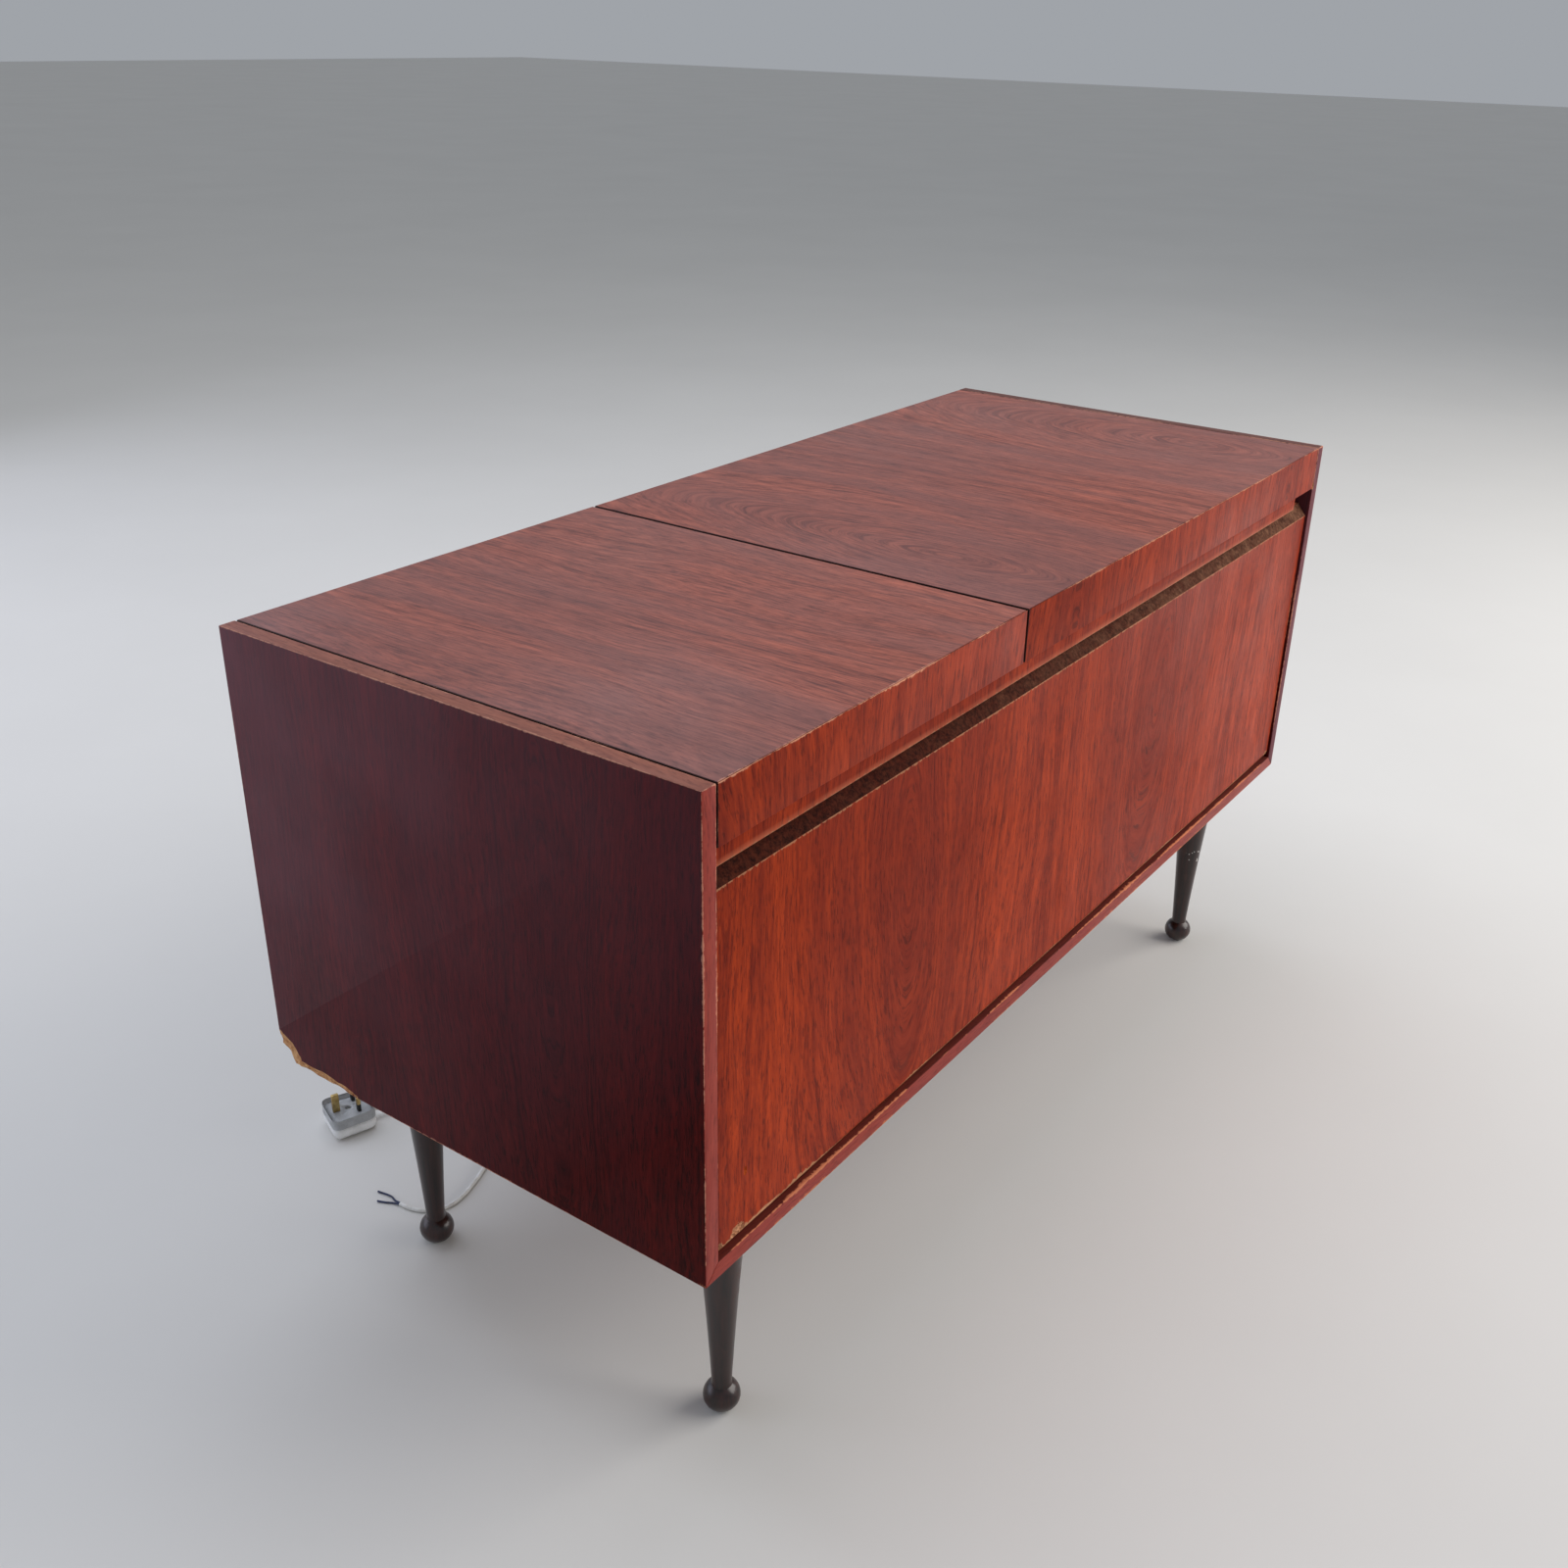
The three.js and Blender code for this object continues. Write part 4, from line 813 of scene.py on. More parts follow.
for side, figure in LID_FIGURES.items():
    low, high = node_box(f"lid_{side}")
    top = board(f"{side}_lid_top", low, high)
    shear_off(top, (0, low.y, high.z), (0, -1, -1))
    soften(top, 1.1, 2)
    give(
        top,
        teak(f"{side}_lid_teak", "XZY", TOP_TEAK, (low - ASIDE, high + ASIDE), wear=1.3,
             bare=tone(190, 132, 112), gloss=0.46, shine=0.5, contrast=1.35, **figure),
        teak(f"{side}_lid_end_shade", "XZY", SEAM_SHADE, (low, high), wear=0.3, gloss=0.6, **figure),
        teak(f"{side}_lid_inside", "XZY", INSIDE_VENEER, (low, high), wear=0.4, gloss=0.55, contrast=0.8),
    )
    paint_faces(top, 1, lambda normal, centre: abs(normal.x) > 0.3)
    paint_faces(top, 2, lambda normal, centre: normal.z < -0.9)
    install(top, f"lid_{side}", "teak_top", f"lid_{side}")

    low, high = node_box(f"lid_{side}_drop")
    figure = {**figure, "slope": DROP_SLOPES[side]}
    drop = board(f"{side}_lid_drop", low, high)
    shear_off(drop, (0, low.y, high.z), (0, 1, 1))
    soften(drop, 0.6, 2)
    give(
        drop,
        teak(f"{side}_drop_teak", "XYZ", FRONT_TEAK, (low - ASIDE - UNDER, high + ASIDE), wear=1.5,
             bare=tone(214, 146, 116), gloss=0.44, shine=0.12, contrast=1.1, flecks=0.75, **figure),
        teak(f"{side}_drop_end_shade", "XYZ", SEAM_SHADE, (low, high), wear=0.3, gloss=0.6, **figure),
    )
    paint_faces(drop, 1, lambda normal, centre: abs(normal.x) > 0.3)
    install(drop, f"lid_{side}", "teak_front", f"lid_{side}_drop")

# ---------------------------------------------------------------- drop flap
# A full-width veneered flap that turns on pins near its rounded foot. A V groove under its top lip
# is the finger pull, and bares the dusty core. Its lip is broken off at the right, and its foot is
# scraped to bare wood at the left.
low, high = node_box("front_flap")
GROOVE_TOP = high.z - 15 * MM
GROOVE_APEX = GROOVE_TOP - 4 * MM
GROOVE_LOW = GROOVE_TOP - 18.5 * MM
GROOVE_DEPTH = 11 * MM
LIP_BREAK = 50 * MM
flap = board("drop_flap", low, high)


def score(z):
    """Marks a level line round the piece in edit mode."""
    bpy.ops.mesh.select_all(action="SELECT")
    bpy.ops.mesh.bisect(plane_co=(0, 0, z), plane_no=(0, 0, 1))


def pick(piece, kind, test):
    """Selects the vertices, edges or faces of a piece that pass a test, in edit mode."""
    bpy.ops.object.mode_set(mode="EDIT")
    bpy.ops.mesh.select_mode(type=kind)
    bpy.ops.mesh.select_all(action="DESELECT")
    bpy.ops.object.mode_set(mode="OBJECT")
    mesh = piece.data
    for item in {"VERT": mesh.vertices, "EDGE": mesh.edges, "FACE": mesh.polygons}[kind]:
        item.select = test(item)
    bpy.ops.object.mode_set(mode="EDIT")


def edge_ends(piece, edge):
    return [piece.data.vertices[i].co for i in edge.vertices]


def is_foot_edge(edge):
    return all(end.z < low.z + MM for end in edge_ends(flap, edge))


bpy.ops.object.mode_set(mode="EDIT")
for z in (GROOVE_TOP, GROOVE_APEX, GROOVE_LOW):
    score(z)
pick(flap, "VERT", lambda at: at.co.y < low.y + MM and abs(at.co.z - GROOVE_APEX) < 0.1 * MM)
bpy.ops.transform.translate(value=(0, GROOVE_DEPTH, 0))
pick(flap, "EDGE", is_foot_edge)
bpy.ops.mesh.bevel(offset=BOARD / 2 - 0.1 * MM, segments=8)
bpy.ops.object.mode_set(mode="OBJECT")
soften(flap, 0.5, 2)


def dusty_core(low, high):
    """Raw board inside the groove, dark and reddish at the left, partly as painted shade in the groove's
    hollow, and thick with dust at the right.
    """
    material, tree, surface = shader("groove_core")
    speck = blotches(tree, 230.0, 6.0, 0.72, 0.36, 0.64)
    # The core's dark reds are partly painted shade for the groove's hollow.
    core = mix(tree, speck, tone(80, 32, 21), tone(34, 12, 9))
    parts = axes(tree, own_coords(tree))
    dust = span(tree, parts[0], low.x + 0.25, high.x, 0.1, 0.85)
    drifts = blotches(tree, 60.0, 6.0, 0.7, 0.34, 0.66, 0.2, 1.1)
    dust = calc(tree, "MULTIPLY", dust, drifts)
    dusty = mix(tree, speck, tone(142, 104, 80), tone(92, 60, 46))
    set_finish(
        surface,
        Base_Color=mix(tree, dust, core, dusty),
        Roughness=0.9,
        Specular_IOR_Level=0.1,
    )
    bump(tree, surface, speck, 0.5, 0.5)
    return material


def make_flap_teak(low, high):
    """The flap's face, with the bare band that scraping has left along its foot, a painted highlight on the
    lip above the groove, and painted shade, with some grime, along its lowest edge.
    """
    material = teak("flap_teak", "XYZ", FRONT_TEAK, (low, high + UNDER), wear=1.4,
                    bare=tone(206, 128, 92), gloss=0.4, leaf=0.26, shift=0.33, apex=0.5,
                    slope=0.24, contrast=0.95, shine=0.1, share=0.55, flecks=0.75)
    tree, colour, clean = base_colour(material)
    parts = axes(tree, own_coords(tree))
    ragged = streaks(tree, own_coords(tree), (260.0, 260.0, 60.0), 5.0, 0.7)
    broad = noise(tree, own_coords(tree), 14.0, 3.0)
    reach = span(tree, parts[0], low.x, low.x + 0.2, 6.5 * MM, 2.6 * MM)
    reach = calc(tree, "MULTIPLY", reach, span(tree, ragged, 0.3, 0.7, 0.25, 1.5))
    reach = calc(tree, "MULTIPLY", reach, span(tree, broad, 0.35, 0.65, 0.3, 1.3))
    above_foot = calc(tree, "SUBTRACT", parts[2], low.z + 4 * MM)
    bared = span(tree, calc(tree, "SUBTRACT", reach, above_foot), 0.0, 0.8 * MM)
    outside = calc(tree, "LESS_THAN", parts[1], low.y + GROOVE_DEPTH)
    for edge_z in (GROOVE_TOP, GROOVE_LOW):
        away = calc(tree, "ABSOLUTE", calc(tree, "SUBTRACT", parts[2], edge_z))
        rubbed = span(tree, ragged, 0.4, 0.62, 0.0, 2.0 * MM)
        rubbed = span(tree, calc(tree, "SUBTRACT", rubbed, away), 0.0, 0.8 * MM, 0.0, 0.7)
        rubbed = calc(tree, "MULTIPLY", rubbed, outside)
        bared = calc(tree, "MAXIMUM", bared, rubbed)
    # Painted highlight: a paler orange band on the lip just above the groove, where its rounded edge
    # catches the light.
    up_lip = calc(tree, "SUBTRACT", parts[2], GROOVE_TOP)
    near_groove = span(tree, up_lip, 6 * MM, 0.5 * MM)
    lip_highlight = calc(tree, "MULTIPLY", near_groove, span(tree, broad, 0.3, 0.7, 0.2, 0.6))
    lip_highlight = calc(tree, "MULTIPLY", lip_highlight, calc(tree, "GREATER_THAN", parts[2], GROOVE_TOP))
    lip_highlight = calc(tree, "MULTIPLY", lip_highlight, outside)
    clean = mix(tree, lip_highlight, clean, tone(206, 116, 84))
    raw = mix(tree, ragged, tone(214, 160, 118), tone(138, 88, 60))
    scraped = mix(tree, bared, clean, raw)
    # Painted shade with some grime: the flap's lowest 2 to 3 mm turn near black, for the shaded gap over
    # the bottom board.
    darkening = span(tree, parts[2], low.z + 2.0 * MM, low.z + 3.0 * MM, 0.92, 0.0)
    feed(tree, colour, mix(tree, darkening, scraped, tone(26, 12, 9)))
    return material


groove_core = dusty_core(low, high)
splinter = bare_wood("splintered_foot", tone(216, 160, 122), tone(160, 104, 74))
give(
    flap, make_flap_teak(low, high), groove_core,
    teak("flap_inside", "XYZ", INSIDE_VENEER, (low, high), wear=0.6, gloss=0.5, contrast=0.8),
)
paint_faces(flap, 2, lambda normal, centre: normal.y > 0.9 and centre.y > high.y - 0.2 * MM)
paint_faces(
    flap, 1,
    lambda normal, centre: GROOVE_LOW + 0.6 * MM < centre.z < GROOVE_TOP - 0.3 * MM
    and centre.y > low.y + 0.6 * MM and centre.y < high.y - MM and abs(normal.x) < 0.5,
)
lip_break = board(
    "lip_break",
    (high.x - LIP_BREAK, low.y - 2 * MM, GROOVE_APEX),
    (high.x + 4 * MM, high.y + 2 * MM, high.z + 4 * MM),
)
bpy.ops.object.mode_set(mode="EDIT")
bpy.ops.mesh.select_all(action="SELECT")
bpy.ops.mesh.subdivide(number_cuts=9)
bpy.ops.transform.vertex_random(offset=1.4 * MM, seed=4)
bpy.ops.object.mode_set(mode="OBJECT")
give(lip_break, bare_wood("broken_lip", tone(186, 112, 84), tone(104, 40, 30)))
break_away(flap, lip_break)
break_away(
    flap,
    lump("foot_chip", (low.x + 26 * MM, low.y - 1 * MM, low.z + 6 * MM), (11, 3, 10), 1.1, 6, splinter),
    lump("foot_chip_b", (low.x + 62 * MM, low.y - 1 * MM, low.z + 3 * MM), (30, 2.6, 6), 0.9, 9, splinter),
    lump("foot_end_chip", (low.x + 2 * MM, low.y - 0.5 * MM, low.z + 4 * MM), (5, 3, 8), 0.8, 12, splinter),
    lump("right_foot_chip", (high.x - 6 * MM, low.y - 0.5 * MM, low.z + 4 * MM),
         (6, 2.4, 6), 0.8, 13, splinter),
    lump("face_chip", (low.x + 36 * MM, low.y - 1.5 * MM, low.z + 62 * MM), (2.6, 2.4, 6),
         0.4, 15, bare_wood("orange_chip", tone(196, 92, 44), tone(150, 62, 34))),
)
install(flap, "flap", "teak_front", "front_flap")

# ---------------------------------------------------------------- inner boards
# The divider, rails and deck boards are plain boards of a paler hardwood. The front rail shows only where
# the flap's lip is gone, so its face is painted dark red, as painted shade seen through the break.
INNER_WOOD = (tone(168, 122, 84), tone(120, 82, 56), tone(142, 98, 70))
RAIL_SHADE = (tone(84, 22, 18), tone(48, 10, 10), tone(66, 18, 20))
INNER_BOARDS = {
    "front_rail": ("lid_front_rail", "YZX", RAIL_SHADE, "teak_front"),
    "rear_rail": ("hinge_rail", "YZX", INNER_WOOD, "inner_board"),
    "centre_divider": ("divider_board", "YXZ", INNER_WOOD, "inner_board"),
    "deck_board_left": ("left_deck", "YZX", INNER_WOOD, "inner_board"),
    "deck_board_right": ("right_deck", "YZX", INNER_WOOD, "inner_board"),
}
for node, (name, order, colours, slot) in INNER_BOARDS.items():
    low, high = node_box(node)
    piece = board(name, low, high)
    soften(piece, 0.7, 2)
    give(piece, teak(f"{name}_wood", order, colours, (low, high), wear=0.8, gloss=0.58,
                     shine=0.3, contrast=0.8, bare=tone(190, 150, 112)))
    install(piece, "case", slot, node)

# ---------------------------------------------------------------- legs
# Turned beech stained nearly black: a long taper to a thin neck over a ball foot that is cut flat
# underneath. Each screws onto a stud in a round steel plate under the case.
LEG_TOP_RADIUS = 24 * MM
LEG_NECK_RADIUS = 9.3 * MM
LEG_NECK_Z = 33 * MM
BALL_RADIUS = 17.3 * MM
BALL_Z = 14.8 * MM
FLAT_RADIUS = 7 * MM
LEG_PLACES = ("front_left", "front_right", "back_left", "back_right")
BALL_STEPS = 16
TAPER_STEPS = 11


def lathe(name, profile, centre, sides=48):
    """A turned piece about an upright axis, from (radius, height) pairs that go up it."""
    (radius, z), *rest = profile
    bpy.ops.object.select_all(action="DESELECT")
    bpy.ops.mesh.primitive_circle_add(
        vertices=sides, radius=radius, fill_type="NGON", location=(centre[0], centre[1], z)
    )
    piece = bpy.context.object
    piece.name = name
    bpy.ops.object.mode_set(mode="EDIT")
    bpy.ops.mesh.select_all(action="SELECT")
    for new_radius, new_z in rest:
        bpy.ops.mesh.extrude_region_move(TRANSFORM_OT_translate={"value": (0, 0, new_z - z)})
        share = new_radius / radius
        bpy.ops.transform.resize(value=(share, share, 1), center_override=(centre[0], centre[1], new_z))
        radius, z = new_radius, new_z
    bpy.ops.mesh.select_all(action="SELECT")
    bpy.ops.mesh.normals_make_consistent(inside=False)
    bpy.ops.object.mode_set(mode="OBJECT")
    bpy.ops.object.transform_apply(location=True, rotation=True, scale=True)
    bpy.ops.object.shade_smooth_by_angle(angle=math.radians(40))
    return piece


def leg_profile(top):
    """The ball from its flat up, the neck, the long taper and a rounded top edge."""
    ball_height = BALL_Z / math.cos(math.asin(FLAT_RADIUS / BALL_RADIUS))
    first = math.pi - math.asin(FLAT_RADIUS / BALL_RADIUS)
    last = math.asin((LEG_NECK_RADIUS + 0.4 * MM) / BALL_RADIUS)
    points = [(FLAT_RADIUS * 0.9, 0.0)]
    for i in range(BALL_STEPS + 1):
        angle = first + (last - first) * i / BALL_STEPS
        z = max(BALL_Z + ball_height * math.cos(angle), 0.2 * MM)
        points.append((BALL_RADIUS * math.sin(angle), z))
    neck_step = points[-1]
    points.append(((neck_step[0] + LEG_NECK_RADIUS) / 2, (neck_step[1] + LEG_NECK_Z) / 2))
    for i in range(TAPER_STEPS + 1):
        share = i / TAPER_STEPS
        radius = LEG_NECK_RADIUS + (LEG_TOP_RADIUS - LEG_NECK_RADIUS) * (0.72 * share + 0.28 * share ** 2)
        points.append((radius, LEG_NECK_Z + (top - 1.2 * MM - LEG_NECK_Z) * share))
    points.append((LEG_TOP_RADIUS - 0.4 * MM, top - 0.4 * MM))
    points.append((LEG_TOP_RADIUS - 1.2 * MM, top))
    return points


def leg_stain(name, splashed):
    """Near-black stain under satin lacquer, rubbed brown on the ball, with a few paint splashes."""
    material, tree, surface = shader(name)
    grain = span(tree, streaks(tree, own_coords(tree), (260.0, 260.0, 9.0), 4.0, 0.6), 0.32, 0.68)
    stain = mix(tree, grain, tone(54, 26, 21), tone(24, 13, 12))
    rubbed = blotches(tree, 34.0, 5.0, 0.6, 0.56, 0.7, 0.0, 0.5)
    stain = mix(tree, rubbed, stain, tone(76, 44, 38))
    if splashed:
        drops = blotches(tree, 105.0, 2.0, 0.5, 0.69, 0.71)
        parts = axes(tree, own_coords(tree))
        band = span(tree, parts[2], 0.105, 0.12)
        stain = mix(tree, calc(tree, "MULTIPLY", drops, band), stain, tone(222, 218, 212))
    set_finish(
        surface,
        Base_Color=stain,
        Roughness=span(tree, rubbed, 0.0, 0.5, 0.3, 0.46),
        Coat_Weight=0.25,
        Coat_Roughness=0.22,
    )
    bump(tree, surface, grain, 0.12, 0.15)
    return material


plain_stain = leg_stain("leg_stain", False)
splashed_stain = leg_stain("splashed_leg_stain", True)
for place in LEG_PLACES:
    low, high = node_box(f"leg_{place}")
    centre = (low + high) / 2
    leg = lathe(f"turned_leg_{place}", leg_profile(high.z), centre)
    give(leg, splashed_stain if place == "front_right" else plain_stain)
    install(leg, "case", "leg_stain", f"leg_{place}")

# ---------------------------------------------------------------- leg plates, pins and catch
# Zinc-plated steel: a round plate with a stud over each leg, screwed up into the case by three
# screws, the flap's two end pins, and the strike plate that a cream magnet catch holds.
SCREW_HEAD = 2.9 * MM


def softened_copy(node, name, width, segments=2):
    """A copy of a node's own solid with its arrises rounded by a width in millimetres."""
    bpy.ops.object.select_all(action="DESELECT")
    given = bpy.data.objects[node]
    piece = bpy.data.objects.new(name, given.data.copy())
    bpy.context.scene.collection.objects.link(piece)
    bpy.context.view_layer.objects.active = piece
    piece.select_set(True)
    bpy.ops.object.mode_set(mode="EDIT")
    bpy.ops.mesh.select_all(action="SELECT")
    bpy.ops.mesh.remove_doubles(threshold=0.01 * MM)
    bpy.ops.mesh.dissolve_limited(angle_limit=math.radians(1))
    bpy.ops.object.mode_set(mode="OBJECT")
    finish(piece, "BEVEL", width=width * MM, segments=segments, limit_method="ANGLE",
           angle_limit=math.radians(32), use_clamp_overlap=True)
    bpy.ops.object.shade_smooth_by_angle(angle=math.radians(38))
    return piece


def plated(name, bright, dull, roughness, scratch=420.0):
    """Plated metal with fine scratches and a dulled, stained patina."""
    material, tree, surface = shader(name)
    patina = blotches(tree, 90.0, 6.0, 0.65, 0.38, 0.66)
    set_finish(surface, Base_Color=mix(tree, patina, bright, dull), Metallic=1.0)
    scratches = streaks(tree, own_coords(tree), (scratch, scratch * 6, scratch), 4.0, 0.6)
    rough = calc(tree, "MULTIPLY_ADD", patina, 0.22, roughness)
    set_finish(surface, Roughness=calc(tree, "MULTIPLY_ADD", scratches, 0.14, rough))
    bump(tree, surface, scratches, 0.12, 0.05)
    return material


def make_screw(name, material):
    """A countersunk screw head with one slot, face up at the origin."""
    head = lathe(
        name,
        [(1.2 * MM, -1.0 * MM), (SCREW_HEAD - 0.2 * MM, 0.05 * MM), (SCREW_HEAD, 0.2 * MM),
         (SCREW_HEAD * 0.82, 0.55 * MM), (SCREW_HEAD * 0.45, 0.75 * MM)],
        (0, 0), 20,
    )
    slot_cut = board("slot_cut", (-4 * MM, -0.4 * MM, 0.15 * MM), (4 * MM, 0.4 * MM, 2 * MM))
    give(head, material)
    give(slot_cut, material)
    break_away(head, slot_cut)
    return head


def set_screws(name, pattern, places, facing, turns):
    """One piece that holds a copy of the screw at each place, facing one way."""
    copies = []
    for place, turn in zip(places, turns):
        copy = bpy.data.objects.new(name, pattern.data.copy())
        bpy.context.scene.collection.objects.link(copy)
        aim = Vector(facing).to_track_quat("Z", "Y").to_matrix().to_4x4()
        copy.data.transform(
            Matrix.Translation(Vector(place)) @ aim @ Matrix.Rotation(math.radians(turn), 4, "Z")
        )
        copies.append(copy)
    bpy.ops.object.select_all(action="DESELECT")
    for copy in copies:
        copy.select_set(True)
    bpy.context.view_layer.objects.active = copies[0]
    bpy.ops.object.join()
    copies[0].name = name
    return copies[0]


zinc = plated("zinc_steel", tone(176, 176, 172), tone(120, 118, 112), 0.34)
zinc_screw = make_screw("zinc_screw_pattern", zinc)
for place in LEG_PLACES:
    node = f"leg_plate_{place}"
    low, high = node_box(node)
    plate = softened_copy(node, f"stud_plate_{place}", 0.4)
    give(plate, zinc)
    install(plate, "case", "zinc_steel", node)

for side in ("left", "right"):
    node = f"flap_pivot_pin_{side}"
    pin = softened_copy(node, f"flap_end_pin_{side}", 0.4)
    give(pin, zinc)
    install(pin, "case", "zinc_steel", node)

strike = softened_copy("flap_strike", "catch_strike_plate", 0.3)
give(strike, zinc)
install(strike, "flap", "zinc_steel", "flap_strike")
low, high = node_box("flap_strike")
strike_screws = set_screws(
    "strike_screws", zinc_screw,
    [(x, high.y - 0.1 * MM, (low.z + high.z) / 2) for x in (low.x + 6 * MM, high.x - 6 * MM)],
    (0, 1, 0), (20, -35),
)
install(strike_screws, "flap", "zinc_steel")
catch = softened_copy("flap_catch", "magnet_catch", 1.2, 3)
catch_plastic = white_pvc("catch_plastic", tone(178, 170, 150), tone(208, 202, 186))
give(catch, catch_plastic)
install(catch, "case", "white_plastic", "flap_catch")

# ---------------------------------------------------------------- hinges
# Brass butt hinges of three knuckles, two to each lid. The rail's leaf holds the pin. Each leaf is
# fixed by three slotted brass screws.
HINGE_SCREW_IN = 9 * MM  # from a leaf's end
HINGE_SCREW_REACH = 8 * MM  # from a leaf's free edge
LEAF_THICKNESS = 1.2 * MM
brass = plated("aged_brass", tone(196, 160, 92), tone(128, 94, 50), 0.3)
brass_screw = make_screw("brass_screw_pattern", brass)
for side in ("left", "right"):
    for end in ("a", "b"):
        node = f"lid_{side}_hinge_{end}_rail_leaf"
        low, high = node_box(node)
        leaf = softened_copy(node, f"{side}_hinge_{end}_fixed_leaf", 0.25)
        give(leaf, brass)
        install(leaf, "case", "brass", node)
        node = f"lid_{side}_hinge_{end}_lid_leaf"
        lid_leaf = softened_copy(node, f"{side}_hinge_{end}_moving_leaf", 0.25)
        give(lid_leaf, brass)
        install(lid_leaf, f"lid_{side}", "brass", node)
        leaf_low, leaf_high = node_box(node)
        across = [low.x + HINGE_SCREW_IN, (low.x + high.x) / 2, high.x - HINGE_SCREW_IN]
        fixed = set_screws(
            f"{side}_hinge_{end}_fixed_screws", brass_screw,
            [(x, low.y + LEAF_THICKNESS, low.z + HINGE_SCREW_REACH) for x in across],
            (0, 1, 0), (12, 80, -40),
        )
        install(fixed, "case", "brass")
        moving = set_screws(
            f"{side}_hinge_{end}_moving_screws", brass_screw,
            [(x, leaf_low.y + HINGE_SCREW_REACH, leaf_high.z - LEAF_THICKNESS) for x in across],
            (0, 0, -1), (55, 5, -70),
        )
        install(moving, f"lid_{side}", "brass")

# ---------------------------------------------------------------- sliding stays
# A flat brass-plated bar turns on a bracket on each lid end and each flap end, and slides through
# a swivel guide on the side panel, so the lid stays up and the flap stops level.
BRACKET_THICKNESS = 1.6 * MM
BRACKET_SCREW_IN = 8 * MM
BRACKET_SCREWS = (-7 * MM, 7 * MM)  # either side of the bracket's middle
stay_plate = plated("stay_brass_plate", tone(206, 178, 118), tone(138, 112, 70), 0.26)
stay_screw = make_screw("stay_screw_pattern", stay_plate)
for owner in ("lid_left", "lid_right", "flap_left", "flap_right"):
    moving_body = "flap" if owner.startswith("flap") else owner
    for part, body in (("bar", f"{owner}_stay_bar"), ("guide", f"{owner}_stay_guide"),
                       ("bracket", moving_body)):
        node = f"{owner}_stay_{part}"
        piece = softened_copy(node, f"{owner}_sliding_{part}", 0.35)
        give(piece, stay_plate)
        install(piece, body, "brass_plate", node)
    low, high = node_box(f"{owner}_stay_bracket")
    foot_x = low.x + BRACKET_SCREW_IN if "right" in owner else high.x - BRACKET_SCREW_IN
    middle = (low + high) / 2
    if moving_body == "flap":
        places = [(foot_x, low.y + BRACKET_THICKNESS, middle.z + step) for step in BRACKET_SCREWS]
        facing = (0, 1, 0)
    else:
        places = [(foot_x, middle.y + step, high.z - BRACKET_THICKNESS) for step in BRACKET_SCREWS]
        facing = (0, 0, -1)
    screws = set_screws(f"{owner}_bracket_screws", stay_screw, places, facing, (30, -15))
    install(screws, moving_body, "brass_plate")

for pattern in (zinc_screw, brass_screw, stay_screw):
    bpy.data.objects.remove(pattern)

# ---------------------------------------------------------------- back panel
# Dark hardboard let in between the sides and tacked round its rim, with two banks of vent slots.
# A moulded sleeve guards the mains lead where it comes out, and a rubber grommet guards the flex.
hardboard, tree, surface = shader("dark_hardboard")
pressed = blotches(tree, 240.0, 6.0, 0.75, 0.32, 0.68)
stained = blotches(tree, 5.0, 6.0, 0.6, 0.36, 0.66)
board_brown = mix(tree, pressed, tone(112, 78, 54), tone(78, 52, 36))
set_finish(
    surface,
    Base_Color=mix(tree, stained, board_brown, tone(88, 64, 48)),
    Roughness=0.82,
    Specular_IOR_Level=0.25,
)
bump(tree, surface, pressed, 0.35, 0.2)
back = bpy.data.objects["back_panel"]
give(back, hardboard)

low, high = node_box("back_panel")
TACK_STEP = 97 * MM
TACK_IN = 8 * MM  # from the panel's rim
TACKS_ACROSS = 13
TACK_HEIGHTS = (104 * MM, 198 * MM, 292 * MM)
tack = lathe("tack_pattern", [(1.6 * MM, -0.6 * MM), (1.9 * MM, 0.1 * MM), (1.5 * MM, 0.5 * MM),
                              (0.7 * MM, 0.65 * MM)], (0, 0), 14)
give(tack, zinc)
across = [low.x + 12 * MM + i * TACK_STEP for i in range(TACKS_ACROSS)]
tack_places = [(x, high.y, z) for x in across for z in (low.z + TACK_IN, high.z - TACK_IN)]
tack_places += [(x, high.y, low.z + height) for x in (low.x + TACK_IN, high.x - TACK_IN)
                for height in TACK_HEIGHTS]
tacks = set_screws("back_panel_tacks", tack, tack_places, (0, 1, 0), [0] * len(tack_places))
install(tacks, "case", "zinc_steel")
bpy.data.objects.remove(tack)


def black_rubber(name, dark, worn):
    material, tree, surface = shader(name)
    dust = blotches(tree, 160.0, 5.0, 0.65, 0.4, 0.7)
    set_finish(
        surface,
        Base_Color=mix(tree, dust, dark, worn),
        Roughness=span(tree, dust, 0.0, 1.0, 0.55, 0.8),
    )
    bump(tree, surface, dust, 0.15, 0.2)
    return material


def along_rear(piece, place):
    """Turns a piece that was turned about an upright axis to point backwards from a place."""
    piece.data.transform(Matrix.Translation(place) @ Matrix.Rotation(math.radians(-90), 4, "X"))
    piece.data.update()


RIB_STEP = 2.4
RIB_HEIGHT = 0.9
SLEEVE_RADIUS = 7.2
SLEEVE_TAPER = 0.34  # off the radius at each rib


